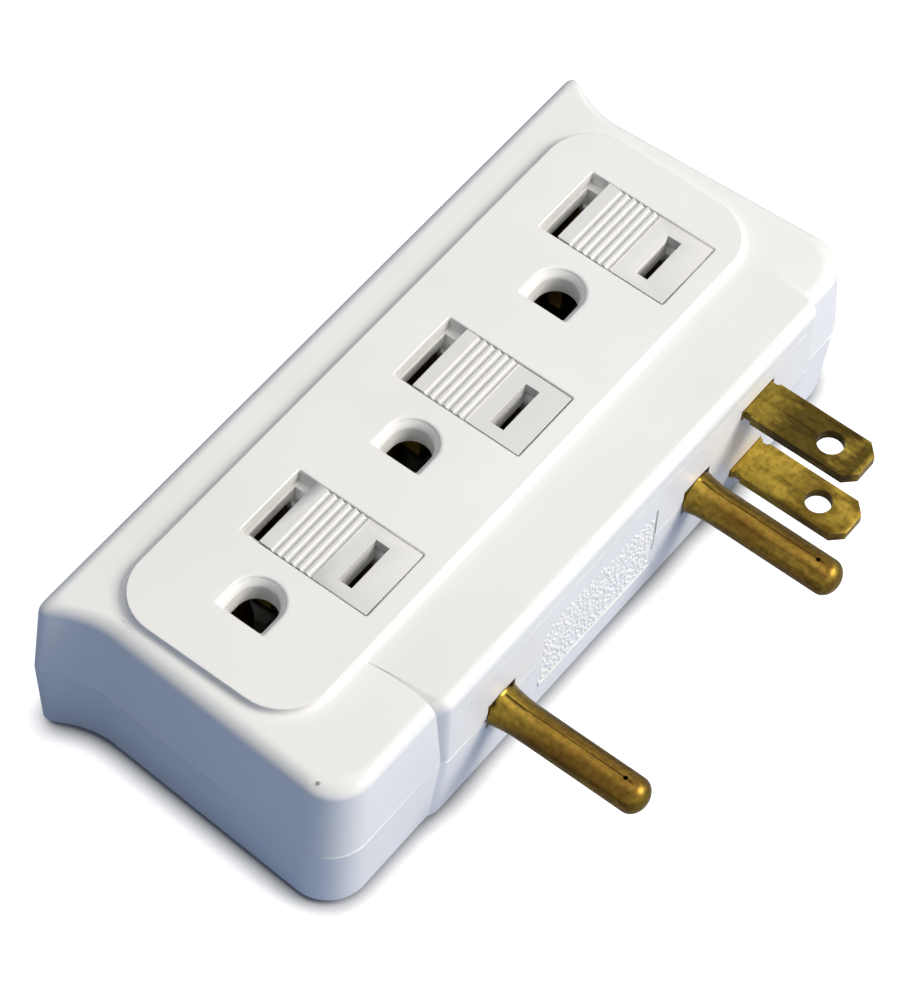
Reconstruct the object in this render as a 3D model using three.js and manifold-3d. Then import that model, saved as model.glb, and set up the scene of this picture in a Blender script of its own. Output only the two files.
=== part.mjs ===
// Outlet side tap: three grounded outlets on the front, two blades and two ground pins on one long side.
// Millimetres. +X points into the wall, +Y runs along the body towards the blades, +Z faces the user.
// Until the last group, X = 0 is the face that meets the wall, Y = 0 the middle of the body's length
// and Z = 0 the parting plane between the two halves of the housing.

import * as THREE from 'three';
import { mergeVertices } from 'three/addons/utils/BufferGeometryUtils.js';
import Module from 'manifold-3d';

const wasm = await Module();
wasm.setup();

// Housing
const bodyWidth = 45.2; // room side to wall side at the parting line, without the wall pad
const bodyLength = 103.4; // over the two rounded wall-side ends
const waistDraw = 1.7; // how far each end is drawn in beside the lip
const lipRise = 2.1; // how far the lip's sweep climbs beyond the waist at each end
const lipSweepRadius = 14.0;
const lipTipRound = 2.2;
const cornerRadius = 5.5;
const frontDepth = 12.5; // parting plane to the front surface around the panel
const backDepth = 13.0; // parting plane to the flat back
const frontEndDraft = 1.2; // how far each end leans in over the front half
const backEndDraft = 0.8;
const wallDraft = 0.6; // the same on the long side with the prongs
const roomDraft = 0.25; // the same on the long side without them
const edgeRadius = 1.6;
const frontEndEdge = 2.2; // how far in the front's rounding reaches from each end
const arcSteps = 5; // facets of a rounded edge
const seamChamfer = 0.18;
const shellWall = 2.0;
const shellSkin = 2.2; // thickness of the front and back

// Raised panel that carries the outlets
const panelWidth = 27.8;
const panelFromEnd = 5.6; // from each end of the body
const panelRise = 1.0;
const panelSlope = 0.5;
const panelCorner = 6.6;
const panelFromWall = 11.9;
const panelMiddleY = -0.3;
const panelCrown = 0.2; // rounding of the panel's rim

// Pad that meets the wall, with its shallow ramp up from the panel
const padStand = 0.6;
const padRise = 0.35;
const padLowFromEnd = 19.2; // foot of the ramp away from the blades, from that end of the body
const padHighFromEnd = 10.3; // the same beside the blades
const padLowRamp = 0.9; // length of that ramp at the parting plane
const padHighRamp = 1.0;
const padSpread = 0.12; // how much the lower ramp lengthens per millimetre of depth
const padSplay = 0.16; // run of both ramps along the body per millimetre towards the wall
const padSunk = -0.06; // where a ramp ends, just below the housing's surface

// Outlets
const outletCount = 3;
const firstRowFromEnd = 17.66; // slot row beside the blades, from that end of the body
const lastRowFromEnd = 28.06; // slot row of the last outlet, from the other end
const outletLineX = 25.75; // ground holes' line, from the wall face
const slotSpacing = 12.7;
const groundDrop = 11.9; // slot row to ground hole
const slotWidth = 2.0;
const hotSlotLength = 7.1;
const neutralSlotLength = 8.7;
const groundHoleWidth = 5.5;
const groundHoleFlat = 2.6;
const groundMouthWidth = 6.6;
const groundMouthFlat = 3.1;
const groundMouthDepth = 1.3;
const collarWall = 1.2;
const bossCorner = 1.0;
const skinOverlap = 0.5; // how far posts, wells and ribs are sunk into the skin that carries them

// Sliding shutters
const pocketLength = 18.7;
const pocketWidth = 10.94;
const pocketDepth = 2.0;
const pocketReach = 7.68; // from the outlet line to the pocket's room-side end
const pocketFloor = 1.8;
const shutterTravel = 2.6;
const shutterGap = 0.15;
const shutterSink = 0.1; // the shutter's plain part lies this much below the panel
const shutterBand = 2.1;
const grooveCount = 6;
const groovePitch = 1.08;
const grooveWidth = 0.5;
const grooveDepth = 0.45;
const ribStand = 0.2;
const legThickness = 1.0;
const legLength = 3.0;
const legSpread = 4.0; // over the outsides of the two legs
const legFromBand = 4.7;
const barbReach = 0.8;
const barbHeight = 1.2;
const barbLand = 0.3; // upright part of a barb
const barbTipThickness = 0.6;
const legRoot = 0.4; // how far a leg is sunk into the shutter's plate

// Prongs
const bladeLength = 16.1;
const bladeWidth = 6.35;
const bladeThickness = 1.5;
const bladeHole = 3.5;
const bladeHoleFromWall = 10.8;
const bladeTipCut = 1.5;
const bladeRootNotch = 0.35;
const bladeNotchFrom = 0.15;
const bladeNotchTo = 0.9;
const bladeNotchRun = 0.3;
const bladeWing = 0.8; // how far the wings behind the wall reach past their slot
const bladeWingLength = 2.5;
const pinLength = 21.3;
const pinDiameter = 4.8;
const pinSheet = 0.8;
const pinSeam = 0.3;
const pinTipHole = 1.2;
const pinTipHoleFromDome = 1.4;
const pinDomeShare = 0.8; // height of the domed tip as a share of the radius
const pinBoreFrom = 0.5;
const pinBoreFromDome = 0.6;
const pinFlange = 7.2;
const pinFlangeThickness = 1.0;
const firstPinFromEnd = 34.5; // from the end of the body beside the blades
const pinPitch = 38.9;
const prongGap = 0.2; // around each prong in its slot

// Inner conductors
const busThickness = 0.8;
const busHeight = 5.0;
const busLowZ = -3.0;
const busHighEnd = 6.6; // how far the buses run past the upper outlet's slot row
const busLowEnd = 7.4; // how far they run past the lower outlet's slot row
const contactSheet = 0.6;
const contactWidth = 6.4;
const contactOuter = 4.4;
const contactPinch = 1.1;
const contactFlare = 2.6;
const contactTopZ = 8.4;
const contactThroat = 2.6; // from the contact's mouth down to its pinch
const bladeTabMargin = 0.6; // blade tab's end past the bus's edge
const contactBottomZ = -4.2;
const stakeDiameter = 2.0;
const stakeHead = 2.8;
const stakeHeadHeight = 0.5;
const stakeGap = 0.1;
const groundStakeHead = 0.3;
const groundSheet = 0.8;
const groundStripRise = 1.4; // middle of the ground strip's thickness, above the back's inner face
const groundStripWidth = 5.4;
const groundContactWidth = 5.0;
const groundContactOuter = 7.2;
const groundContactPinch = 4.5;
const groundContactFlare = 6.4;
const groundContactSpread = 3.0; // height over which the legs widen above the strip
const groundContactThroat = 3.0;
const groundContactLower = 0.4; // its mouth lies this much below the blade contacts'
const groundStripMargin = 3.0;
const groundTabX = 5.0; // middle of the upright tabs, from the wall face
const groundTabWidth = 5.0;
const groundTabTopZ = 3.2;

// Screws and the posts that they close
const postDiameter = 6.4;
const postPilot = 3.0;
const postClearance = 3.4;
const screwShank = 2.7;
const screwGrip = 8.0; // how deep a screw reaches into the front half's post
const screwHead = 5.2;
const screwHeadHeight = 1.9;
const counterbore = 5.8;
const counterboreDepth = 3.0;
const counterboreWall = 1.2;
const counterboreFloor = 1.4;
const seatGap = 0.05;
const recessReach = 1.5;
const recessWidth = 0.45;
const recessDepth = 1.1;
const postInset = 6.4; // from the waist's ends to the posts' middles
const postFromWall = 8.0;
const postFromRoom = 6.0;

// Ribs
const cradleThickness = 1.5;
const cradleTopZ = -1.6;
const cradleShoulder = 2.4; // beyond the buses' notches
const cradleFromContact = 2.4;
const cradleAboveRow = 7.84; // slot row to the cradle between it and the ground hole before it
const guideRibThickness = 1.2;
const guideRibDrop = 4.4;
const fitGap = 0.3;

const roundSegments = 28;
const smallSegments = 16;

// Values worked out from the sizes above
const bodyEnd = bodyLength / 2;
const waistEnd = bodyEnd - waistDraw;
const panelLength = bodyLength - 2 * panelFromEnd;
const outletPitch = (bodyLength - firstRowFromEnd - lastRowFromEnd) / (outletCount - 1);
const firstPinY = bodyEnd - firstPinFromEnd;
const groundStripZ = groundStripRise + shellSkin - backDepth;
const cradleSillZ = groundStripZ - groundSheet / 2 - fitGap;
const frontHalf = { depth: frontDepth, sign: 1, endDraft: frontEndDraft, endEdge: frontEndEdge };
const backHalf = { depth: backDepth, sign: -1, endDraft: backEndDraft, endEdge: edgeRadius };
const wallSideX = -padStand;
const roomSideX = wallSideX - bodyWidth;
const panelTopZ = frontDepth + panelRise;
const hotX = -outletLineX + slotSpacing / 2;
const neutralX = -outletLineX - slotSpacing / 2;
const pocketRoomX = -outletLineX - pocketReach;
const pocketWallX = pocketRoomX + pocketLength;
const pocketBottomZ = panelTopZ - pocketDepth;
const floorBottomZ = pocketBottomZ - pocketFloor;
const shutterLength = pocketLength - shutterTravel - 2 * shutterGap;
const shutterWidth = pocketWidth - 2 * shutterGap;
const bladeY = firstPinY + groundDrop;
const pinY = [firstPinY, firstPinY - pinPitch];
const bladeZ = slotSpacing / 2;
const shellInnerX = wallSideX - shellWall;
const behindWallX = shellInnerX - wallDraft;
const hotBusX = hotX + contactOuter / 2 + busThickness / 2;
const neutralBusX = neutralX - contactOuter / 2 - busThickness / 2;
const postX = [-postFromWall, roomSideX + postFromRoom];
const postY = [1, -1].map((side) => side * (waistEnd - postInset));
const busStakeZ = busLowZ + busHeight / 2;
const places = ['upper', 'middle', 'lower'];

/** Slot row of an outlet, 0 being the one nearest the blades. */
function rowY(index) {
  return bodyEnd - firstRowFromEnd - index * outletPitch;
}

/** Turns a closed geometry into a solid that can be cut and joined. */
function solid(geometry) {
  const bare = geometry.clone();
  bare.deleteAttribute('normal');
  bare.deleteAttribute('uv');
  const merged = mergeVertices(bare, 1e-5);
  const vertProperties = new Float32Array(merged.attributes.position.array);
  const triVerts = new Uint32Array(merged.index.array);
  return new wasm.Manifold(new wasm.Mesh({ numProp: 3, vertProperties, triVerts }));
}

/** Joins a list of solids. */
function join(list) {
  return list.reduce((sum, piece) => sum.add(piece));
}

/** Cuts every solid of a list out of the first one. */
function cut(body, list) {
  return list.reduce((rest, piece) => rest.subtract(piece), body);
}

const axisBasis = {
  x: [new THREE.Vector3(0, 1, 0), new THREE.Vector3(0, 0, 1), new THREE.Vector3(1, 0, 0)],
  y: [new THREE.Vector3(1, 0, 0), new THREE.Vector3(0, 0, 1), new THREE.Vector3(0, -1, 0)],
  z: [new THREE.Vector3(1, 0, 0), new THREE.Vector3(0, 1, 0), new THREE.Vector3(0, 0, 1)],
};

/** Turns a geometry built along its own Z so that this Z lies along a named axis (reversed for y). */
function lay(geometry, axis) {
  return geometry.applyMatrix4(new THREE.Matrix4().makeBasis(...axisBasis[axis]));
}

/** Extrudes a shape along an axis; it is drawn in the two other axes, in X, Y, Z order. */
function prism(shape, axis, from, to, curveSegments = 8) {
  const geometry = new THREE.ExtrudeGeometry(shape, { depth: to - from, bevelEnabled: false, curveSegments });
  lay(geometry, axis);
  const start = { x: [from, 0, 0], y: [0, to, 0], z: [0, 0, from] }[axis];
  return solid(geometry.translate(...start));
}

/** Box between two corners. */
function block(low, high) {
  const size = high.map((value, i) => value - low[i]);
  const middle = high.map((value, i) => (value + low[i]) / 2);
  return solid(new THREE.BoxGeometry(...size).translate(...middle));
}

/** Round rod along an axis; `across` places its centre in the two other axes, in X, Y, Z order. */
function rod(radius, axis, from, to, across, segments = roundSegments, endRadius = radius) {
  const geometry = new THREE.CylinderGeometry(endRadius, radius, to - from, segments);
  geometry.rotateX(Math.PI / 2);
  lay(geometry, axis);
  const middle = (from + to) / 2;
  const [u, v] = across;
  const place = { x: [middle, u, v], y: [u, middle, v], z: [u, v, middle] }[axis];
  return solid(geometry.translate(...place));
}

/**
 * Skins a row of sections, lowest first: each is a counter-clockwise outline at a height along local Z,
 * and may lie in a slanted plane.
 */
function loft(sections, axis = 'z') {
  const count = sections[0].points.length;
  const positions = sections.flatMap(
    ({ points, at, slant = () => 0 }) => points.flatMap((p) => [p.x, p.y, at + slant(p)]),
  );
  const index = [];
  for (let s = 0; s < sections.length - 1; s += 1) {
    for (let i = 0; i < count; i += 1) {
      const a = s * count + i;
      const b = s * count + ((i + 1) % count);
      index.push(a, b, b + count, a, b + count, a + count);
    }
  }
  const top = (sections.length - 1) * count;
  for (const [i, j, k] of THREE.ShapeUtils.triangulateShape(sections[0].points, [])) {
    index.push(k, j, i);
  }
  for (const [i, j, k] of THREE.ShapeUtils.triangulateShape(sections.at(-1).points, [])) {
    index.push(top + i, top + j, top + k);
  }
  const geometry = new THREE.BufferGeometry();
  geometry.setAttribute('position', new THREE.Float32BufferAttribute(positions, 3));
  geometry.setIndex(index);
  return solid(lay(geometry, axis));
}

/** Counter-clockwise outline of a shape, without its repeated last point. */
function outlineOf(shape, curveSegments) {
  const points = shape.getPoints(curveSegments);
  if (points[0].distanceTo(points.at(-1)) < 1e-6) {
    points.pop();
  }
  return THREE.ShapeUtils.isClockWise(points) ? points.reverse() : points;
}

/** Rectangle with rounded corners, centred on a point. */
function roundedRectangle(width, length, radius, x = 0, y = 0) {
  const shape = new THREE.Shape();
  const right = x + width / 2 - radius;
  const left = x - width / 2 + radius;
  const high = y + length / 2 - radius;
  const low = y - length / 2 + radius;
  shape.absarc(right, high, radius, 0, Math.PI / 2);
  shape.absarc(left, high, radius, Math.PI / 2, Math.PI);
  shape.absarc(left, low, radius, Math.PI, 1.5 * Math.PI);
  shape.absarc(right, low, radius, 1.5 * Math.PI, 2 * Math.PI);
  shape.closePath();
  return shape;
}

/** Closed polygon through [u, v] pairs. */
function polygon(pairs) {
  return new THREE.Shape(pairs.map(([u, v]) => new THREE.Vector2(u, v)));
}

/** Outline of a folded sheet: a centre line of [u, v] pairs given its thickness, with mitred folds. */
function foldedSheet(line, thickness) {
  const points = line.map(([u, v]) => new THREE.Vector2(u, v));
  const side = (sign) => points.map((point, i) => {
    const before = points[Math.max(i - 1, 0)];
    const after = points[Math.min(i + 1, points.length - 1)];
    const inward = (i === 0 ? after.clone().sub(point) : point.clone().sub(before)).normalize();
    const outward = (i === points.length - 1 ? inward : after.clone().sub(point)).clone().normalize();
    const normal = new THREE.Vector2(-inward.y - outward.y, inward.x + outward.x).normalize();
    const reach = thickness / 2 / normal.dot(new THREE.Vector2(-inward.y, inward.x));
    return point.clone().addScaledVector(normal, sign * reach);
  });
  return new THREE.Shape([...side(-1), ...side(1).reverse()]);
}

/** Plan outline of the housing at the parting plane. */
function bodyOutline() {
  const sweep = Math.acos(1 - lipRise / lipSweepRadius);
  const tipX = roomSideX + lipTipRound * Math.cos(sweep);
  const sweepX = tipX + lipSweepRadius * Math.sin(sweep);
  const tipY = waistEnd + lipRise;
  const cornerY = tipY + lipTipRound * Math.sin(sweep);
  const shape = new THREE.Shape();
  shape.absarc(wallSideX - cornerRadius, bodyEnd - cornerRadius, cornerRadius, 0, Math.PI / 2);
  shape.absarc(sweepX, waistEnd + lipSweepRadius, lipSweepRadius, -Math.PI / 2, -Math.PI / 2 - sweep, true);
  shape.quadraticCurveTo(roomSideX, cornerY, roomSideX, cornerY - lipTipRound);
  shape.lineTo(roomSideX, -cornerY + lipTipRound);
  shape.quadraticCurveTo(roomSideX, -cornerY, tipX, -tipY);
  shape.absarc(sweepX, -waistEnd - lipSweepRadius, lipSweepRadius, Math.PI / 2 + sweep, Math.PI / 2, true);
  shape.absarc(wallSideX - cornerRadius, cornerRadius - bodyEnd, cornerRadius, -Math.PI / 2, 0);
  shape.closePath();
  return outlineOf(shape, 8);
}

/** The plan outline drawn in by one amount, or another one at the ends, and by a share of each side's draft. */
function drawnIn(outline, half, inset, share, endInset = inset) {
  const room = roomSideX + inset + roomDraft * share;
  const wall = wallSideX - inset - wallDraft * share;
  const scaleX = (wall - room) / bodyWidth;
  const scaleY = 1 - (endInset + half.endDraft * share) / bodyEnd;
  return outline.map((p) => new THREE.Vector2(room + (p.x - roomSideX) * scaleX, p.y * scaleY));
}

/** Outside of one half of the housing, from the parting plane to its depth, with its rounded edge. */
function halfOutside(half) {
  const outline = bodyOutline();
  const section = (height, inset, endInset) => ({
    points: drawnIn(outline, half, inset, height / half.depth, endInset),
    at: half.sign * height,
  });
  const sections = [section(0, seamChamfer), section(seamChamfer, 0)];
  for (let i = 0; i <= arcSteps; i += 1) {
    const angle = (i / arcSteps) * (Math.PI / 2);
    const height = half.depth - edgeRadius + edgeRadius * Math.sin(angle);
    const inward = 1 - Math.cos(angle);
    sections.push(section(height, edgeRadius * inward, half.endEdge * inward));
  }
  return loft(half.sign > 0 ? sections : sections.reverse());
}

/** Hollow of one half of the housing, open at the parting plane. */
function halfHollow(half) {
  const outline = bodyOutline();
  const section = (height, share) => ({
    points: drawnIn(outline, half, shellWall, share),
    at: half.sign * height,
  });
  const sections = [section(-1, 0), section(0, 0), section(half.depth - shellSkin, 1)];
  return loft(half.sign > 0 ? sections : sections.reverse());
}

/** Section of the wall pad on one half, in X and Z: standing out, risen and leaning by the given sizes. */
function padSection({ depth, sign }, stand, rise, draft) {
  const face = wallSideX + stand;
  const topZ = depth + rise;
  const inner = -panelFromWall + panelSlope;
  const shape = new THREE.Shape();
  shape.moveTo(inner, 0);
  shape.lineTo(face - seamChamfer, 0);
  shape.lineTo(face, seamChamfer);
  shape.lineTo(face - draft, topZ - edgeRadius);
  shape.absarc(face - draft - edgeRadius, topZ - edgeRadius, edgeRadius, 0, Math.PI / 2);
  shape.lineTo(inner, depth + Math.min(rise, 0));
  const points = shape.getPoints(arcSteps).map((p) => new THREE.Vector2(p.x, sign * p.y));
  return outlineOf(new THREE.Shape(points), 1);
}

/** Pad on the wall side of one half, whose ends ramp down into the housing and splay towards the wall. */
function wallPad(half, rise, draft) {
  const full = padSection(half, padStand, rise, draft);
  const sunk = padSection(half, padSunk, padSunk, wallDraft);
  const highFoot = bodyEnd - padHighFromEnd;
  const lowFoot = bodyEnd - padLowFromEnd;
  const splay = (p) => padSplay * p.x;
  const widen = (p) => padSplay * p.x + padSpread * Math.abs(p.y);
  return loft([
    { points: sunk, at: -highFoot, slant: (p) => -splay(p) },
    { points: full, at: padHighRamp - highFoot, slant: (p) => -splay(p) },
    { points: full, at: lowFoot - padLowRamp, slant: splay },
    { points: sunk, at: lowFoot, slant: widen },
  ], 'y');
}

/** Raised panel around the outlets. */
function raisedPanel() {
  const x = -panelFromWall - panelWidth / 2;
  const ring = (grow, at) => ({
    points: outlineOf(roundedRectangle(
      panelWidth + 2 * grow, panelLength + 2 * grow, panelCorner + grow, x, panelMiddleY,
    ), 8),
    at,
  });
  return loft([
    ring(panelSlope, frontDepth - 1),
    ring(panelSlope, frontDepth),
    ring(panelCrown, panelTopZ - panelCrown),
    ring(panelCrown * 0.3, panelTopZ - panelCrown * 0.3),
    ring(-panelCrown * 0.5, panelTopZ),
  ]);
}

/** D-shaped outline of a ground hole: a round side towards the slots and a flat side away from them. */
function groundOutline(width, flat) {
  const shape = new THREE.Shape();
  shape.moveTo(-width / 2, -flat);
  shape.lineTo(width / 2, -flat);
  shape.absarc(0, 0, width / 2, 0, Math.PI);
  shape.closePath();
  return outlineOf(shape, 16);
}

/** Ground hole with its funnel mouth, centred on X = 0, Y = 0. */
function groundHole() {
  const hole = groundOutline(groundHoleWidth, groundHoleFlat);
  const mouth = groundOutline(groundMouthWidth, groundMouthFlat);
  return loft([
    { points: hole, at: floorBottomZ - 1 },
    { points: hole, at: panelTopZ - groundMouthDepth },
    { points: mouth, at: panelTopZ },
    { points: mouth, at: panelTopZ + 1 },
  ]);
}

/** Well under a shutter pocket, the ground hole's collar and two ribs that guide the contacts' jaws. */
function outletBoss(y) {
  const middleX = (pocketRoomX + pocketWallX) / 2;
  const skinZ = frontDepth - shellSkin + skinOverlap;
  const wellShape = roundedRectangle(
    pocketLength + 2 * shellWall, pocketWidth + 2 * shellWall, bossCorner, middleX, y,
  );
  const well = prism(wellShape, 'z', floorBottomZ, skinZ, 2);
  const collar = groundOutline(groundHoleWidth + 2 * collarWall, groundHoleFlat + collarWall)
    .map((p) => new THREE.Vector2(p.x - outletLineX, p.y + y - groundDrop));
  const collarSolid = loft([
    { points: collar, at: floorBottomZ },
    { points: collar, at: skinZ },
  ]);
  const ribY = contactWidth / 2 + fitGap + guideRibThickness / 2;
  const ribs = [-ribY, ribY].map((offset) => block(
    [neutralX - contactOuter / 2, y + offset - guideRibThickness / 2, floorBottomZ - guideRibDrop],
    [hotX + contactOuter / 2 - fitGap, y + offset + guideRibThickness / 2, floorBottomZ + skinOverlap],
  ));
  return join([well, collarSolid, ...ribs]);
}

/** Everything that one outlet cuts out of the front half. */
function outletCuts(y) {
  const pocket = block(
    [pocketRoomX, y - pocketWidth / 2, pocketBottomZ],
    [pocketWallX, y + pocketWidth / 2, panelTopZ + 1],
  );
  const slot = (x, length) => block(
    [x - slotWidth / 2, y - length / 2, floorBottomZ - 1],
    [x + slotWidth / 2, y + length / 2, pocketBottomZ + 1],
  );
  const legWindow = block(
    [legRoomX() - shutterTravel - shutterGap, y - legSpread / 2 - shutterGap, floorBottomZ - 1],
    [legRoomX() + legLength + shutterGap, y + legSpread / 2 + shutterGap, pocketBottomZ + 1],
  );
  const hole = groundHole().translate(-outletLineX, y - groundDrop, 0);
  return [pocket, slot(hotX, hotSlotLength), slot(neutralX, neutralSlotLength), legWindow, hole];
}

/** Room-side end of the shutter at rest, with both slots open. */
function shutterRoomX() {
  return pocketWallX - shutterGap - shutterLength;
}

/** Room-side edge of the shutter's legs at rest. */
function legRoomX() {
  return shutterRoomX() + legFromBand;
}

/** Cuts for the prongs through the wall of one half. */
function prongCuts(sign) {
  const z = sign * bladeZ;
  const blade = block(
    [shellInnerX - 1, bladeY - bladeWidth / 2 - prongGap, z - bladeThickness / 2 - prongGap],
    [1, bladeY + bladeWidth / 2 + prongGap, z + bladeThickness / 2 + prongGap],
  );
  const pins = pinY.map((y) => block(
    [shellInnerX - 1, y - pinDiameter / 2 - prongGap, -pinDiameter / 2 - prongGap],
    [1, y + pinDiameter / 2 + prongGap, pinDiameter / 2 + prongGap],
  ));
  return [blade, ...pins];
}

/** Front half: panel, pockets and slots outside, wells, collars, ribs and screw posts inside. */
function frontCover() {
  const outside = join([halfOutside(frontHalf), raisedPanel(), wallPad(frontHalf, padRise, 0)]);
  const shell = outside.subtract(halfHollow(frontHalf));
  const rows = places.map((_, i) => rowY(i));
  const bosses = rows.map(outletBoss);
  const posts = postX.flatMap((x) => postY.map((y) => rod(
    postDiameter / 2, 'z', 0, frontDepth - shellSkin + skinOverlap, [x, y], smallSegments,
  )));
  const pilots = postX.flatMap((x) => postY.map((y) => rod(
    postPilot / 2, 'z', -1, screwGrip + 1, [x, y], smallSegments,
  )));
  return cut(join([shell, ...bosses, ...posts]), [...rows.flatMap(outletCuts), ...pilots, ...prongCuts(1)]);
}

/** Comb rib across the back half that the buses and the ground strip lie in. */
function cradleRib(y) {
  const floorZ = -backDepth + shellSkin - skinOverlap;
  const notch = busThickness / 2 + fitGap;
  const notchZ = busLowZ - fitGap;
  const stripLeft = -outletLineX - groundStripWidth / 2 - fitGap;
  const stripRight = -outletLineX + groundStripWidth / 2 + fitGap;
  const shape = polygon([
    [neutralBusX - notch - cradleShoulder, floorZ],
    [hotBusX + notch + cradleShoulder, floorZ],
    [hotBusX + notch + cradleShoulder, cradleTopZ],
    [hotBusX + notch, cradleTopZ],
    [hotBusX + notch, notchZ],
    [hotBusX - notch, notchZ],
    [hotBusX - notch, cradleTopZ],
    [stripRight, cradleTopZ],
    [stripRight, cradleSillZ],
    [stripLeft, cradleSillZ],
    [stripLeft, cradleTopZ],
    [neutralBusX + notch, cradleTopZ],
    [neutralBusX + notch, notchZ],
    [neutralBusX - notch, notchZ],
    [neutralBusX - notch, cradleTopZ],
    [neutralBusX - notch - cradleShoulder, cradleTopZ],
  ]);
  return prism(shape, 'y', y - cradleThickness / 2, y + cradleThickness / 2);
}

/** Places of the cradle ribs, between the contacts of neighbouring outlets and past the last ones. */
function cradlePlaces() {
  const clear = contactWidth / 2 + cradleFromContact;
  const between = places.slice(1).map((_, i) => rowY(i + 1) + cradleAboveRow);
  return [rowY(0) + clear, ...between, rowY(outletCount - 1) - clear];
}

/** Room that a cradle rib leaves around the ground bus's finger at a pin. */
function fingerRoom(y) {
  const reach = groundTabWidth / 2 + fitGap;
  return block(
    [-outletLineX, y - reach, cradleSillZ],
    [-groundTabX + groundSheet / 2 + fitGap, y + reach, cradleTopZ + fitGap],
  );
}

/** Back half: a plain flat back, cradle ribs, and posts whose counterbores hold the screws' heads. */
function backCover() {
  const outside = halfOutside(backHalf).add(wallPad(backHalf, padSunk, wallDraft));
  const shell = outside.subtract(halfHollow(backHalf));
  const floorZ = -backDepth + shellSkin - skinOverlap;
  const posts = postX.flatMap((x) => postY.map((y) => rod(
    postDiameter / 2, 'z', floorZ, 0, [x, y], smallSegments,
  )));
  const collars = postX.flatMap((x) => postY.map((y) => rod(
    counterbore / 2 + counterboreWall, 'z', floorZ, -backDepth + counterboreDepth + counterboreFloor, [x, y],
    smallSegments,
  )));
  const holes = postX.flatMap((x) => postY.flatMap((y) => [
    rod(postClearance / 2, 'z', -backDepth - 1, 1, [x, y], smallSegments),
    rod(counterbore / 2, 'z', -backDepth - 1, -backDepth + counterboreDepth, [x, y], smallSegments),
  ]));
  const ribs = cut(join(cradlePlaces().map(cradleRib)), pinY.map(fingerRoom));
  const body = join([shell, ribs, ...posts, ...collars]);
  return cut(body, [...holes, ...prongCuts(-1)]);
}

/** Sliding shutter: a grooved finger grip, a hot slot, and two legs that snap under the pocket's floor. */
function shutter(y) {
  const left = shutterRoomX();
  const right = left + shutterLength;
  const plainZ = panelTopZ - shutterSink;
  const gripZ = plainZ + ribStand;
  const bottomZ = pocketBottomZ + shutterGap;
  const outline = [[left, bottomZ], [right, bottomZ], [right, plainZ]];
  for (let i = grooveCount - 1; i >= 0; i -= 1) {
    const start = left + shutterBand + i * groovePitch;
    const rim = i === grooveCount - 1 ? plainZ : gripZ;
    outline.push([start + grooveWidth, rim]);
    outline.push([start + grooveWidth * 0.75, gripZ - grooveDepth]);
    outline.push([start + grooveWidth * 0.25, gripZ - grooveDepth]);
    outline.push([start, gripZ]);
  }
  outline.push([left, gripZ]);
  const plate = prism(polygon(outline), 'y', y - shutterWidth / 2, y + shutterWidth / 2);
  const slot = block(
    [hotX - slotWidth / 2, y - hotSlotLength / 2, bottomZ - 1],
    [hotX + slotWidth / 2, y + hotSlotLength / 2, plainZ + 1],
  );
  return plate.subtract(slot).add(shutterLeg(y, 1)).add(shutterLeg(y, -1));
}

/** One leg of a shutter, on the side that `sign` names, with its barb. */
function shutterLeg(y, sign) {
  const outer = legSpread / 2;
  const rootZ = pocketBottomZ + shutterGap + legRoot;
  const barbTopZ = floorBottomZ - shutterGap;
  const tipZ = barbTopZ - barbLand - barbHeight;
  const pairs = [
    [outer - legThickness, rootZ],
    [outer - legThickness, tipZ],
    [outer - legThickness + barbTipThickness, tipZ],
    [outer + barbReach, barbTopZ - barbLand],
    [outer + barbReach, barbTopZ],
    [outer, barbTopZ],
    [outer, rootZ],
  ].map(([v, z]) => [y + sign * v, z]);
  const shape = polygon(sign > 0 ? pairs : pairs.reverse());
  return prism(shape, 'x', legRoomX(), legRoomX() + legLength);
}

/** Plan of a blade: chamfered tip, notched root, and wings behind the wall that hold it. */
function bladePlan(tailX) {
  const half = bladeWidth / 2;
  const wing = half + prongGap + bladeWing;
  const shoulder = behindWallX - prongGap;
  const side = [
    [tailX, half],
    [shoulder - bladeWingLength, half],
    [shoulder - bladeWingLength, wing],
    [shoulder, wing],
    [shoulder, half],
    [bladeNotchFrom, half],
    [bladeNotchFrom, half - bladeRootNotch],
    [bladeNotchTo, half - bladeRootNotch],
    [bladeNotchTo + bladeNotchRun, half],
    [bladeLength - bladeTipCut, half],
    [bladeLength, half - bladeTipCut],
  ];
  const mirrored = side.map(([x, v]) => [x, -v]).reverse();
  return polygon([...side, ...mirrored].map(([x, v]) => [x, bladeY + v]).reverse());
}

/** Blade with its hole, whose tail folds up or down into a tab that is staked to a bus. */
function blade(z, tabX, tabZ) {
  const high = Math.max(z, tabZ) + bladeThickness;
  const low = Math.min(z, tabZ) - bladeThickness;
  const strip = prism(
    foldedSheet([[bladeLength + 1, z], [tabX, z], [tabX, tabZ]], bladeThickness),
    'y', bladeY - bladeWidth, bladeY + bladeWidth,
  );
  const plan = prism(bladePlan(tabX - bladeThickness), 'z', low, high);
  const hole = rod(bladeHole / 2, 'z', z - bladeThickness, z + bladeThickness, [bladeHoleFromWall, bladeY]);
  return stakeHole(strip.intersect(plan).subtract(hole), tabX, bladeY);
}

/** A bar's or tab's hole for a staked tenon, through the given X. */
function stakeHole(body, x, y) {
  return body.subtract(rod(
    stakeDiameter / 2 + stakeGap, 'x', x - bladeThickness, x + bladeThickness, [y, busStakeZ], smallSegments,
  ));
}

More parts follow.
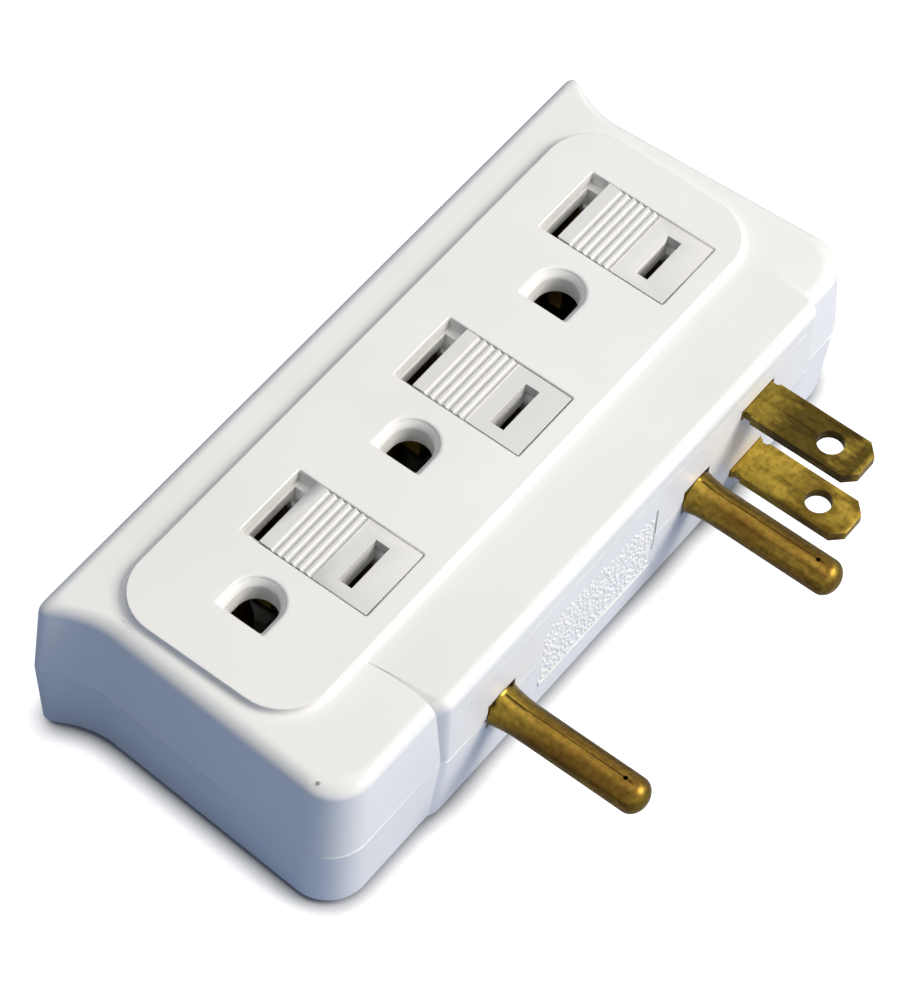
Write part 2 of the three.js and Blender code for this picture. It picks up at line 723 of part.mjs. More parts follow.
/** Tenon formed on a contact or tab: a shank through its neighbour and a head closed over the far side. */
function stake(fromX, throughX, y, z = busStakeZ) {
  const direction = Math.sign(throughX - fromX);
  const headEnd = throughX + direction * (stakeGap + stakeHeadHeight);
  const shank = rod(
    stakeDiameter / 2, 'x', Math.min(fromX, headEnd), Math.max(fromX, headEnd), [y, z], smallSegments,
  );
  const headStart = throughX + direction * stakeGap;
  const head = rod(
    stakeHead / 2, 'x', Math.min(headStart, headEnd), Math.max(headStart, headEnd), [y, z], smallSegments,
  );
  return shank.add(head);
}

/** Standing bus bar with a hole for every contact that is staked to it and one for its blade. */
function bus(x, bladeStakeDirection) {
  const highY = rowY(0) + busHighEnd;
  const lowY = rowY(outletCount - 1) - busLowEnd;
  const bar = block([x - busThickness / 2, lowY, busLowZ], [x + busThickness / 2, highY, busLowZ + busHeight]);
  const drilled = places.reduce((body, _, i) => stakeHole(body, x, rowY(i)), bar);
  return drilled.add(stake(x, x + bladeStakeDirection * (busThickness / 2 + bladeThickness), bladeY));
}

/** Two-legged blade contact with a pinched middle and a flared mouth, staked to its bus. */
function bladeContact(x, y, side) {
  const half = (contactOuter - contactSheet) / 2;
  const pinch = (contactPinch + contactSheet) / 2;
  const flare = (contactFlare + contactSheet) / 2;
  const leg = [
    [half, contactBottomZ + contactSheet / 2],
    [half, busLowZ + busHeight],
    [pinch, contactTopZ - contactThroat],
    [flare, contactTopZ],
  ];
  const line = [...leg.map(([u, v]) => [x - u, v]).reverse(), ...leg.map(([u, v]) => [x + u, v])];
  const jaws = prism(foldedSheet(line, contactSheet), 'y', y - contactWidth / 2, y + contactWidth / 2);
  const legX = x + side * half;
  return jaws.add(stake(legX, x + side * (contactOuter / 2 + busThickness), y));
}

/** Two-legged ground contact that stands on the ground strip. */
function groundContact(y) {
  const half = (groundContactOuter - contactSheet) / 2;
  const pinch = (groundContactPinch + contactSheet) / 2;
  const flare = (groundContactFlare + contactSheet) / 2;
  const bottomZ = groundStripZ + groundSheet / 2 + contactSheet / 2;
  const topZ = contactTopZ - groundContactLower;
  const foot = groundStripWidth / 2 - contactSheet / 2;
  const leg = [
    [foot, bottomZ],
    [half, bottomZ + groundContactSpread],
    [pinch, topZ - groundContactThroat],
    [flare, topZ],
  ];
  const line = [...leg.map(([u, v]) => [-u, v]).reverse(), ...leg]
    .map(([u, v]) => [u - outletLineX, v]);
  const jaws = prism(foldedSheet(line, contactSheet), 'y', y - groundContactWidth / 2, y + groundContactWidth / 2);
  const headTopZ = groundStripZ - groundSheet / 2 - stakeGap;
  const headZ = headTopZ - groundStakeHead;
  const shank = rod(stakeDiameter / 2, 'z', headZ, bottomZ, [-outletLineX, y], smallSegments);
  const head = rod(stakeHead / 2, 'z', headZ, headTopZ, [-outletLineX, y], smallSegments);
  return join([jaws, shank, head]);
}

/** Ground bus: a flat strip under the ground contacts, with a finger and an upright tab for each pin. */
function groundBus() {
  const low = groundStripZ - groundSheet / 2;
  const high = groundStripZ + groundSheet / 2;
  const highY = rowY(0) - groundDrop + groundStripMargin;
  const lowY = rowY(outletCount - 1) - groundDrop - groundStripMargin;
  const strip = block(
    [-outletLineX - groundStripWidth / 2, lowY, low],
    [-outletLineX + groundStripWidth / 2, highY, high],
  );
  const fold = [[-outletLineX, groundStripZ], [-groundTabX, groundStripZ], [-groundTabX, groundTabTopZ]];
  const fingers = pinY.map((y) => prism(
    foldedSheet(fold, groundSheet), 'y', y - groundTabWidth / 2, y + groundTabWidth / 2,
  ));
  const tenonHoles = places.map((_, i) => rod(
    stakeDiameter / 2 + stakeGap, 'z', low - 1, high + 1, [-outletLineX, rowY(i) - groundDrop], smallSegments,
  ));
  const pinHoles = pinY.map((y) => rod(
    stakeDiameter / 2 + stakeGap, 'x', -groundTabX - groundSheet, -groundTabX + groundSheet, [y, 0], smallSegments,
  ));
  return cut(join([strip, ...fingers]), [...tenonHoles, ...pinHoles]);
}

/** Ground pin: rolled from sheet with its seam towards the front, a domed tip, a flange and a tenon. */
function groundPin(y) {
  const radius = pinDiameter / 2;
  const dome = radius * pinDomeShare;
  const tubeEnd = pinLength - dome;
  const profile = [
    new THREE.Vector2(0, behindWallX - prongGap),
    new THREE.Vector2(radius, behindWallX - prongGap),
  ];
  for (let i = 0; i <= arcSteps; i += 1) {
    const angle = (i / arcSteps) * (Math.PI / 2);
    profile.push(new THREE.Vector2(radius * Math.cos(angle), tubeEnd + dome * Math.sin(angle)));
  }
  profile.at(-1).x = 0;
  const turned = new THREE.LatheGeometry(profile, roundSegments).rotateZ(-Math.PI / 2);
  const outside = solid(turned.translate(0, y, 0));
  const boreEnd = tubeEnd - pinBoreFromDome;
  const bore = rod(radius - pinSheet, 'x', pinBoreFrom, boreEnd, [y, 0], smallSegments);
  const seam = block([pinBoreFrom, y - pinSeam / 2, 0], [boreEnd, y + pinSeam / 2, radius + 1]);
  const tipHole = rod(pinTipHole / 2, 'z', 0, radius + 1, [tubeEnd - pinTipHoleFromDome, y], smallSegments);
  const flangeX = behindWallX - prongGap;
  const flange = block(
    [flangeX - pinFlangeThickness, y - pinFlange / 2, -pinFlange / 2],
    [flangeX, y + pinFlange / 2, pinFlange / 2],
  );
  const tenon = stake(flangeX - pinFlangeThickness / 2, -groundTabX - groundSheet / 2, y, 0);
  return join([cut(outside, [bore, seam, tipHole]), flange, tenon]);
}

/** Pan-head screw with a cross recess, standing in the back half's counterbore. */
function screw(x, y) {
  const seatZ = -backDepth + counterboreDepth - seatGap;
  const headZ = seatZ - screwHeadHeight;
  const head = rod(screwHead / 2, 'z', headZ, seatZ, [x, y]);
  const shank = rod(screwShank / 2, 'z', seatZ - seatGap, screwGrip, [x, y], smallSegments);
  const arm = (reachX, reachY) => block(
    [x - reachX, y - reachY, headZ - 1],
    [x + reachX, y + reachY, headZ + recessDepth],
  );
  return cut(head.add(shank), [arm(recessReach, recessWidth / 2), arm(recessWidth / 2, recessReach)]);
}

const finishes = {
  housing: new THREE.MeshStandardMaterial({ color: 0xe9e9e7, roughness: 0.35, metalness: 0 }),
  shutter: new THREE.MeshStandardMaterial({ color: 0xf3f2ee, roughness: 0.4, metalness: 0 }),
  prong: new THREE.MeshStandardMaterial({ color: 0x9a7f35, roughness: 0.35, metalness: 1 }),
  conductor: new THREE.MeshStandardMaterial({ color: 0xb89a4c, roughness: 0.3, metalness: 1 }),
  steel: new THREE.MeshStandardMaterial({ color: 0xa9abae, roughness: 0.35, metalness: 1 }),
};

const tap = new THREE.Group();

/** Adds one finished solid to the tap under its name. */
function addPart(name, body, finish) {
  const data = body.getMesh();
  const geometry = new THREE.BufferGeometry();
  geometry.setAttribute('position', new THREE.Float32BufferAttribute(data.vertProperties, 3));
  geometry.setIndex(Array.from(data.triVerts));
  geometry.computeVertexNormals();
  const mesh = new THREE.Mesh(geometry, finishes[finish]);
  mesh.name = name;
  tap.add(mesh);
}

addPart('front_cover', frontCover(), 'housing');
addPart('back_cover', backCover(), 'housing');
places.forEach((place, i) => {
  const y = rowY(i);
  addPart(`shutter_${place}`, shutter(y), 'shutter');
  addPart(`hot_contact_${place}`, bladeContact(hotX, y, 1), 'conductor');
  addPart(`neutral_contact_${place}`, bladeContact(neutralX, y, -1), 'conductor');
  addPart(`ground_contact_${place}`, groundContact(y - groundDrop), 'conductor');
});
addPart('hot_bus', bus(hotBusX, 1), 'conductor');
addPart('neutral_bus', bus(neutralBusX, -1), 'conductor');
addPart('ground_bus', groundBus(), 'conductor');
const hotTabX = hotBusX + (busThickness + bladeThickness) / 2;
const neutralTabX = neutralBusX - (busThickness + bladeThickness) / 2;
addPart('hot_blade', blade(bladeZ, hotTabX, busLowZ + bladeTabMargin), 'prong');
addPart('neutral_blade', blade(-bladeZ, neutralTabX, busLowZ + busHeight - bladeTabMargin), 'prong');
addPart('ground_pin_upper', groundPin(pinY[0]), 'prong');
addPart('ground_pin_lower', groundPin(pinY[1]), 'prong');
addPart('screw_upper_wall', screw(postX[0], postY[0]), 'steel');
addPart('screw_upper_room', screw(postX[1], postY[0]), 'steel');
addPart('screw_lower_wall', screw(postX[0], postY[1]), 'steel');
addPart('screw_lower_room', screw(postX[1], postY[1]), 'steel');

// The origin lies on the surface that the flat back rests on, under the middle of the whole part.
tap.position.set(-(pinLength + roomSideX) / 2, 0, backDepth);

export default tap;
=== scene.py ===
"""Outlet side tap lying on its back: three grounded outlets with shutters, and prongs on one long side.

Sizes are in millimetres in the part's own frame, and become metres where a mesh is made.
"""

import logging
import math
from collections.abc import Iterable, Sequence
from dataclasses import dataclass, field
from enum import Enum

import bmesh
import bpy
from mathutils import Matrix, Vector


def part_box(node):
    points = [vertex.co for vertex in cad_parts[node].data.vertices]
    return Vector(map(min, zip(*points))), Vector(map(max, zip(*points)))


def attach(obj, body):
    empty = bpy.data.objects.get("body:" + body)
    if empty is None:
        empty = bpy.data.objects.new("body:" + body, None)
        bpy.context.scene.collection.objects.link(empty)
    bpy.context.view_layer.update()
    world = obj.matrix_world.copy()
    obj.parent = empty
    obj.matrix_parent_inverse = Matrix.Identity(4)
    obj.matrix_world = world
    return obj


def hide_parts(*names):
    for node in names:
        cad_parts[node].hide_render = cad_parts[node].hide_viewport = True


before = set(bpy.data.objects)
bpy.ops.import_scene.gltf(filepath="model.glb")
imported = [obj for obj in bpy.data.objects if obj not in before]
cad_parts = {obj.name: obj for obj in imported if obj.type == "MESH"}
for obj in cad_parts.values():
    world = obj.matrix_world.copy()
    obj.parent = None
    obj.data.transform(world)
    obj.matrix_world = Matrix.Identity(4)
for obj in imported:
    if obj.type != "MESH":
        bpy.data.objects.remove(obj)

MM = 0.001
PINS = ("ground_pin_upper", "ground_pin_lower")
# Standard sizes of the plug and the outlet.
SLOT_PITCH = 12.7
BLADE_WIDTH = 6.35
BLADE_THICKNESS = 1.5
PIN_RADIUS = 2.4
# How far a cutter runs on past the solid that it cuts.
CLEAR = 1.0
# Vertices nearer than this are one, and faces within this many degrees are one flat face.
MERGE_REACH = 0.001
FLAT_DEGREES = 0.5
Point = tuple[float, float]
Heights = float | list[float]
Section = tuple[list[Point], Heights]
Piece = bpy.types.Object
Tree = bpy.types.NodeTree
Node = bpy.types.Node
Material = bpy.types.Material
log = logging.getLogger("side_tap")


class Place(Enum):
    """The three outlets, from the one beside the blades downwards."""

    UPPER = "upper"
    MIDDLE = "middle"
    LOWER = "lower"


class Half(Enum):
    """The two halves of the housing, with the way each faces from the parting plane."""

    FRONT = 1
    BACK = -1


class Axis(Enum):
    """Axes that a loft can run along, each with the matrix that turns local Z onto it, or onto -Y for Y."""

    X = Matrix(((0, 0, 1), (1, 0, 0), (0, 1, 0)))
    Y = Matrix(((1, 0, 0), (0, 0, -1), (0, 1, 0)))
    Z = Matrix.Identity(3)


class Cut(Enum):
    """Ways in which one solid changes another."""

    JOIN = "UNION"
    REMOVE = "DIFFERENCE"
    KEEP = "INTERSECT"


@dataclass(frozen=True)
class Box:
    """A node's lowest and highest corner, in millimetres."""

    low: Vector
    high: Vector

    @classmethod
    def of(cls, node: str) -> "Box":
        """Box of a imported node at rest."""
        low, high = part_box(node)
        return cls(low / MM, high / MM)

    @property
    def middle(self) -> Vector:
        """Centre of the box."""
        return (self.low + self.high) / 2


def arc(cx: float, cy: float, radius: float, start: float, end: float, steps: int = 16) -> list[Point]:
    """Points along an arc from one angle to another in degrees, both ends included."""
    angles = (math.radians(start + (end - start) * i / steps) for i in range(steps + 1))
    return [(cx + radius * math.cos(a), cy + radius * math.sin(a)) for a in angles]


def circle(cx: float, cy: float, radius: float, count: int) -> list[Point]:
    """Points round a whole circle, counter-clockwise."""
    return arc(cx, cy, radius, 0, 360, count)[:-1]


def quarter(steps: int) -> list[Point]:
    """Sine and cosine of each angle in a quarter turn of equal steps, both ends included."""
    return [(math.sin(a), math.cos(a)) for a in (math.pi / 2 * i / steps for i in range(steps + 1))]


def rounded_rectangle(
    cx: float, cy: float, width: float, length: float, radius: float, steps: int = 12
) -> list[Point]:
    """Counter-clockwise rectangle with rounded corners.

    Args:
        cx: Centre's first coordinate.
        cy: Centre's second coordinate.
        width: Size along the first coordinate.
        length: Size along the second coordinate.
        radius: Corner radius.
        steps: Chords in each corner.

    Returns:
        The outline's points.
    """
    right, left = cx + width / 2 - radius, cx - width / 2 + radius
    high, low = cy + length / 2 - radius, cy - length / 2 + radius
    corners = ((right, high, 0), (left, high, 90), (left, low, 180), (right, low, 270))
    return [point for x, y, turn in corners for point in arc(x, y, radius, turn, turn + 90, steps)]


def make_object(name: str, form: bmesh.types.BMesh) -> Piece:
    """Turns a finished form into an object at the origin and frees the form.

    Args:
        name: The object's name.
        form: The form, in metres.

    Returns:
        The object.
    """
    mesh = bpy.data.meshes.new(name)
    form.to_mesh(mesh)
    form.free()
    piece = bpy.data.objects.new(name, mesh)
    bpy.context.scene.collection.objects.link(piece)
    return piece


def loft(name: str, sections: Sequence[Section], axis: Axis = Axis.Z) -> Piece:
    """Skins a row of sections that have equal numbers of points.

    Args:
        name: The object's name.
        sections: Counter-clockwise outlines, lowest first, each with its height or its points' heights.
        axis: Axis that the heights run along.

    Returns:
        A closed solid.
    """
    form = bmesh.new()
    rings = []
    for points, height in sections:
        heights = height if isinstance(height, list) else [height] * len(points)
        places = (axis.value @ Vector((u, v, w)) for (u, v), w in zip(points, heights))
        rings.append([form.verts.new(place * MM) for place in places])
    count = len(rings[0])
    for low, high in zip(rings, rings[1:]):
        for i in range(count):
            j = (i + 1) % count
            form.faces.new((low[i], low[j], high[j], high[i]))
    form.faces.new(rings[0][::-1])
    form.faces.new(rings[-1])
    bmesh.ops.recalc_face_normals(form, faces=form.faces)
    return make_object(name, form)


def block(name: str, low: Sequence[float], high: Sequence[float]) -> Piece:
    """Box between its lowest and its highest corner, as a solid to cut or join with."""
    outline = [(low[0], low[1]), (high[0], low[1]), (high[0], high[1]), (low[0], high[1])]
    return loft(name, [(outline, low[2]), (outline, high[2])])


def bake(piece: Piece) -> None:
    """Turns a piece's modifiers into plain mesh and removes them.

    Args:
        piece: The piece.
    """
    graph = bpy.context.evaluated_depsgraph_get()
    baked = bpy.data.meshes.new_from_object(piece.evaluated_get(graph))
    piece.modifiers.clear()
    old = piece.data
    piece.data = baked
    bpy.data.meshes.remove(old)


def apply_modifier(piece: Piece, kind: str, **settings: object) -> None:
    """Adds one modifier to a piece and makes its result the piece's own mesh.

    Args:
        piece: The piece.
        kind: Type of modifier.
        **settings: Values for the modifier.
    """
    modifier = piece.modifiers.new(kind.lower(), kind)
    for key, value in settings.items():
        setattr(modifier, key, value)
    bake(piece)


def break_edges(piece: Piece, width: float, angle: float, segments: int = 3) -> None:
    """Rounds the edges of a piece that turn by more than an angle in degrees."""
    limit = math.radians(angle)
    apply_modifier(
        piece, "BEVEL", width=width * MM, segments=segments, limit_method="ANGLE", angle_limit=limit
    )


def combine(base: Piece, way: Cut, tools: Iterable[Piece]) -> Piece:
    """Cuts or joins solids and removes the ones that it used up.

    Args:
        base: The solid that is kept.
        way: How the others change it.
        tools: The others.

    Returns:
        The base.
    """
    for tool in tools:
        apply_modifier(base, "BOOLEAN", operation=way.value, object=tool, solver="MANIFOLD")
        bpy.data.objects.remove(tool)
    return base


def solid_copy(node: str, name: str) -> Piece:
    """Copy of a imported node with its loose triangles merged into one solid.

    Args:
        node: The node's name.
        name: The copy's name.

    Returns:
        The copy.
    """
    form = bmesh.new()
    form.from_mesh(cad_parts[node].data)
    bmesh.ops.remove_doubles(form, verts=form.verts, dist=MERGE_REACH * MM)
    return make_object(name, form)


def flatten(piece: Piece) -> None:
    """Merges the triangles of each flat face of a piece.

    Args:
        piece: The piece.
    """
    form = bmesh.new()
    form.from_mesh(piece.data)
    bmesh.ops.dissolve_limit(form, angle_limit=math.radians(FLAT_DEGREES), verts=form.verts, edges=form.edges)
    form.to_mesh(piece.data)
    form.free()


def smooth(piece: Piece, angle: float = 32.0) -> None:
    """Shades a piece smooth apart from its sharp edges, with its large flat faces kept flat.

    Args:
        piece: The piece.
        angle: Edges that turn by more degrees than this stay sharp.
    """
    for polygon in piece.data.polygons:
        polygon.use_smooth = True
    piece.data.set_sharp_from_angle(angle=math.radians(angle))
    apply_modifier(piece, "WEIGHTED_NORMAL", weight=100, keep_sharp=True)


def dress(
    piece: Piece, material: Material, body: str, nodes: Sequence[str] = ()
) -> None:
    """Gives a finished piece its material and the body it moves with, and hides the nodes that it stands for.

    Args:
        piece: The piece.
        material: Its material, for every face.
        body: The body that carries it.
        nodes: Nodes that it replaces.
    """
    piece.data.materials.clear()
    piece.data.materials.append(material)
    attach(piece, body)
    if nodes:
        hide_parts(*nodes)
    log.info("%s: %d faces on %s", piece.name, len(piece.data.polygons), body)


# Materials


def linear(code: str) -> tuple[float, float, float, float]:
    """Turns an sRGB hex colour into linear values.

    Args:
        code: Six hex digits after a hash sign.

    Returns:
        Red, green, blue and full opacity.
    """
    channels = [int(code[i:i + 2], 16) / 255 for i in (1, 3, 5)]
    red, green, blue = (c / 12.92 if c <= 0.04045 else ((c + 0.055) / 1.055) ** 2.4 for c in channels)
    return red, green, blue, 1.0


def add_node(
    tree: Tree, kind: str, inputs: dict[str | int, object] | None = None, **settings: object
) -> Node:
    """Adds a node to a tree.

    A Map Range has its value at input 0, its range at 1 and 2, and the range that this becomes at 3 and 4. A Mix
    of colours has the second one's share at input 0, the colours at 6 and 7, and its result at output 2.

    Args:
        tree: The node tree.
        kind: The node's type name.
        inputs: For each input a value, the socket that feeds it, or a node whose first output does.
        **settings: Properties of the node itself.

    Returns:
        The node.
    """
    node = tree.nodes.new(kind)
    for key, value in settings.items():
        setattr(node, key, value)
    for key, source in (inputs or {}).items():
        if isinstance(source, Node):
            source = source.outputs[0]
        if isinstance(source, bpy.types.NodeSocket):
            tree.links.new(source, node.inputs[key])
        else:
            node.inputs[key].default_value = source
    return node


def pattern(tree: Tree, grain: float, detail: float = 2.0, stretch: float = 1.0) -> Node:
    """Cloudy random pattern over the piece's own coordinates.

    Args:
        tree: The material's tree.
        grain: Size of the pattern in millimetres.
        detail: Number of finer layers.
        stretch: How many times longer it is along X.

    Returns:
        The node whose value is about 0 to 1 around one half.
    """
    place = add_node(tree, "ShaderNodeTexCoord")
    scaled = add_node(
        tree, "ShaderNodeMapping", {"Vector": place.outputs["Object"], "Scale": (1 / stretch, 1.0, 1.0)}
    )
    scale = 1 / (grain * MM)
    return add_node(tree, "ShaderNodeTexNoise", {"Vector": scaled, "Scale": scale, "Detail": detail})


def new_material(name: str) -> tuple[Material, Tree]:
    """Starts a node material.

    Args:
        name: The material's name.

    Returns:
        The material and its emptied tree.
    """
    material = bpy.data.materials.new(name)
    material.use_nodes = True
    material.node_tree.nodes.clear()
    return material, material.node_tree


def end_material(tree: Tree, inputs: dict[str | int, object]) -> None:
    """Ends a material's tree in one shader with the inputs that are given."""
    shader = add_node(tree, "ShaderNodeBsdfPrincipled", inputs)
    add_node(tree, "ShaderNodeOutputMaterial", {"Surface": shader})


@dataclass(frozen=True)
class MouldedPlastic:
    """Injection-moulded ABS: a soft, slightly uneven sheen over an even pale colour."""

    name: str
    colour: str
    shade: str
    roughness: float = 0.36
    duller: float = 0.05
    glossier: float = 0.04
    ior: float = 1.53
    cloud: float = 18.0
    cloud_from: float = 0.35
    cloud_to: float = 0.7
    ripple: float = 2.4
    ripple_depth: float = 0.006
    # The mould's own grain is under 0.1 mm, too fine to show, so it is drawn coarser.
    grain: float = 0.3
    grain_depth: float = 0.0012
    rough_from: float = 0.3
    rough_to: float = 0.7

    def build(self) -> Material:
        """Makes the material.

        Returns:
            The material.
        """
        material, tree = new_material(self.name)
        cloud = pattern(tree, self.cloud)
        share = add_node(tree, "ShaderNodeMapRange", {0: cloud, 1: self.cloud_from, 2: self.cloud_to})
        colours = {0: share, 6: linear(self.colour), 7: linear(self.shade)}
        rough = add_node(tree, "ShaderNodeMapRange", {
            0: pattern(tree, self.grain * 3), 1: self.rough_from, 2: self.rough_to,
            3: self.roughness - self.glossier, 4: self.roughness + self.duller,
        })
        ripple = add_node(tree, "ShaderNodeBump", {
            "Height": pattern(tree, self.ripple), "Distance": self.ripple_depth * MM,
        })
        relief = add_node(tree, "ShaderNodeBump", {
            "Height": pattern(tree, self.grain), "Distance": self.grain_depth * MM, "Normal": ripple,
        })
        end_material(tree, {
            "Base Color": add_node(tree, "ShaderNodeMix", colours, data_type="RGBA").outputs[2],
            "IOR": self.ior, "Roughness": rough, "Normal": relief,
        })
        return material


@dataclass(frozen=True)
class DrawnBrass:
    """Brass strip rolled and stamped: fine lines along it under a brown tarnish, rubbed bare at its ends, where
    the bare tip is also a painted highlight.
    """

    name: str
    bright: str
    tarnish: str
    stain: str
    roughness: float = 0.3
    dull: float = 0.12
    # Real roll lines are some 0.03 mm apart, too fine to show, so they are drawn wider.
    line: float = 0.12
    line_stretch: float = 60.0
    line_depth: float = 0.002
    swell: float = 1.6
    swell_depth: float = 0.01
    patch: float = 2.6
    patch_stretch: float = 1.8
    streak_from: float = 0.5
    streak_to: float = 0.68
    streak_depth: float = 0.8
    mottle: float = 0.7
    mottle_from: float = 0.42
    mottle_to: float = 0.66
    mottle_depth: float = 0.45
    tarnish_from: float = 0.34
    tarnish_to: float = 0.6
    bare_from: float = -60.0
    bare_to: float = -50.0
    bare_cover: float = 0.15
    tip: float = 60.0
    tip_fade: float = 0.8

    def build(self) -> Material:
        """Makes the material.

        Returns:
            The material.
        """
        material, tree = new_material(self.name)
        patches = pattern(tree, self.patch, detail=4.0, stretch=self.patch_stretch)
        cover = add_node(tree, "ShaderNodeMapRange", {0: patches, 1: self.tarnish_from, 2: self.tarnish_to})
        # Handling keeps the metal bare beside the wall face and at the very tip, and the bare tip is also a
        # painted highlight.
        place = add_node(tree, "ShaderNodeTexCoord")
        along = add_node(tree, "ShaderNodeSeparateXYZ", {0: place.outputs["Object"]})
        root = {1: self.bare_from * MM, 2: self.bare_to * MM, 3: self.bare_cover}
        tip = {1: (self.tip - self.tip_fade) * MM, 2: self.tip * MM, 3: 1.0, 4: 0.0}
        for fade in (root, tip):
            share = add_node(tree, "ShaderNodeMapRange", {0: along, **fade})
            cover = add_node(tree, "ShaderNodeMath", {0: cover, 1: share}, operation="MULTIPLY")
        # The stain's streaks are a third as wide as the patches and drawn out four times as far.
        streaks = pattern(tree, self.patch / 3, detail=3.0, stretch=4 * self.patch_stretch)
        streaks = add_node(tree, "ShaderNodeMapRange", {
            0: streaks, 1: self.streak_from, 2: self.streak_to, 4: self.streak_depth,
        })
        stained = add_node(tree, "ShaderNodeMath", {0: streaks, 1: cover}, operation="MULTIPLY")
        mottled = add_node(tree, "ShaderNodeMapRange", {
            0: pattern(tree, self.mottle, detail=3.0), 1: self.mottle_from, 2: self.mottle_to,
            4: self.mottle_depth,
        })
        colour = linear(self.bright)
        for share, code in ((cover, self.tarnish), (stained, self.stain), (mottled, self.stain)):
            colours = {0: share, 6: colour, 7: linear(code)}
            colour = add_node(tree, "ShaderNodeMix", colours, data_type="RGBA").outputs[2]
        rough = add_node(tree, "ShaderNodeMapRange", {
            0: cover, 3: self.roughness, 4: self.roughness + self.dull,
        })
        swell = add_node(tree, "ShaderNodeBump", {
            "Height": pattern(tree, self.swell), "Distance": self.swell_depth * MM,
        })
        relief = add_node(tree, "ShaderNodeBump", {
            "Height": pattern(tree, self.line, stretch=self.line_stretch), "Distance": self.line_depth * MM,
            "Normal": swell,
        })
        end_material(tree, {"Base Color": colour, "Metallic": 1.0, "Roughness": rough, "Normal": relief})
        return material


@dataclass(frozen=True)
class PlatedSteel:
    """Zinc-plated steel: a cool, slightly cloudy grey metal."""

    name: str
    colour: str = "#a9abae"
    cloud_colour: str = "#8c9096"
    cloud: float = 1.2
    cloud_from: float = 0.3
    cloud_to: float = 0.7
    roughness: float = 0.33
    duller: float = 0.08
    glossier: float = 0.05
    grain: float = 0.2
    grain_depth: float = 0.002

    def build(self) -> Material:
        """Makes the material.

        Returns:
            The material.
        """
        material, tree = new_material(self.name)
        cloud = pattern(tree, self.cloud, detail=3.0)
        share = add_node(tree, "ShaderNodeMapRange", {0: cloud, 1: self.cloud_from, 2: self.cloud_to})
        colours = {0: share, 6: linear(self.colour), 7: linear(self.cloud_colour)}
        rough = add_node(tree, "ShaderNodeMapRange", {
            0: share, 3: self.roughness - self.glossier, 4: self.roughness + self.duller,
        })
        relief = add_node(tree, "ShaderNodeBump", {
            "Height": pattern(tree, self.grain), "Distance": self.grain_depth * MM,
        })
        end_material(tree, {
            "Base Color": add_node(tree, "ShaderNodeMix", colours, data_type="RGBA").outputs[2],
            "Metallic": 1.0, "Roughness": rough, "Normal": relief,
        })
        return material


@dataclass(frozen=True)
class SettledDust:
    """A settled grain of dust: matt and brown, so that it reads as a small dark fleck on the white."""

    name: str = "settled_dust"
    colour: str = "#a8a196"
    dark: str = "#857e72"
    grain: float = 0.2
    dark_from: float = 0.35
    dark_to: float = 0.65
    roughness: float = 0.9

    def build(self) -> Material:
        """Makes the material.

        Returns:
            The material.
        """
        material, tree = new_material(self.name)
        grain = pattern(tree, self.grain)
        share = add_node(tree, "ShaderNodeMapRange", {0: grain, 1: self.dark_from, 2: self.dark_to})
        colours = {0: share, 6: linear(self.colour), 7: linear(self.dark)}
        colour = add_node(tree, "ShaderNodeMix", colours, data_type="RGBA").outputs[2]
        end_material(tree, {"Base Color": colour, "Roughness": self.roughness})
        return material


@dataclass(frozen=True)
class Finishes:
    """The materials that the pieces share."""

    housing: Material
    shutter: Material
    hot_blade: Material
    neutral_blade: Material
    pin: Material
    contact: Material
    steel: Material
    dust: Material

    @classmethod
    def build(cls) -> "Finishes":
        """Makes all the materials.

        Returns:
            The set of them.
        """
        wall, tip = Box.of("front_cover").high.x, Box.of("hot_blade").high.x
        return cls(
            housing=MouldedPlastic("white_abs_moulded", "#e9e8e5", "#e5e4e0").build(),
            # The shutters' white is drawn darker than the housing's, as painted shade on their plain plates down
            # in the pockets.
            shutter=MouldedPlastic("white_abs_with_painted_shade", "#d9d8d5", "#d5d4d0", roughness=0.42).build(),
            hot_blade=DrawnBrass(
                "dark_tarnished_brass_strip", "#a58c3a", "#4e4018", "#30270f",
                tarnish_from=0.2, tarnish_to=0.45, bare_from=wall, bare_to=wall + 5, tip=tip,
            ).build(),
            neutral_blade=DrawnBrass(
                "golden_tarnished_brass_strip", "#b89b3e", "#6b5520", "#453614",
                tarnish_from=0.3, tarnish_to=0.55, bare_from=wall + 1, bare_to=wall + 11, tip=tip,
            ).build(),
            pin=DrawnBrass(
                "tarnished_rolled_brass", "#987f34", "#6b5120", "#452e10",
                tarnish_from=0.25, tarnish_to=0.6, patch_stretch=6.0, bare_from=wall, bare_to=wall + 6,
                tip=Box.of(PINS[0]).high.x, tip_fade=1.6,
            ).build(),
            contact=DrawnBrass("rolled_brass_strip", "#8f7636", "#6b5828", "#4d3f1c", tarnish_to=0.8).build(),
            steel=PlatedSteel("zinc_plated_steel").build(),
            dust=SettledDust().build(),
        )


# Geometry node trees


def new_tree(name: str, sizes: dict[str, tuple[str, object]]) -> tuple[Tree, Node]:
    """Starts a geometry tree with a geometry input and output and named sizes.

    Args:
        name: The tree's name.
        sizes: Socket type and first value of each named input.

    Returns:
        The tree and its input node.
    """
    tree = bpy.data.node_groups.new(name, "GeometryNodeTree")
    for way in ("INPUT", "OUTPUT"):
        tree.interface.new_socket("Geometry", in_out=way, socket_type="NodeSocketGeometry")
    for label, (kind, value) in sizes.items():
        socket = tree.interface.new_socket(label, in_out="INPUT", socket_type=kind)
        if value is not None:
            socket.default_value = value
    return tree, tree.nodes.new("NodeGroupInput")


def end_tree(tree: Tree, made: Node, material: bpy.types.NodeSocket) -> None:
    """Ends a geometry tree in real geometry with a material.

    Args:
        tree: The tree.
        made: The node that made the geometry.
        material: The material's socket.
    """
    real = add_node(tree, "GeometryNodeRealizeInstances", {"Geometry": made})
    dressed = add_node(tree, "GeometryNodeSetMaterial", {"Geometry": real, "Material": material})
    add_node(tree, "NodeGroupOutput", {"Geometry": dressed})


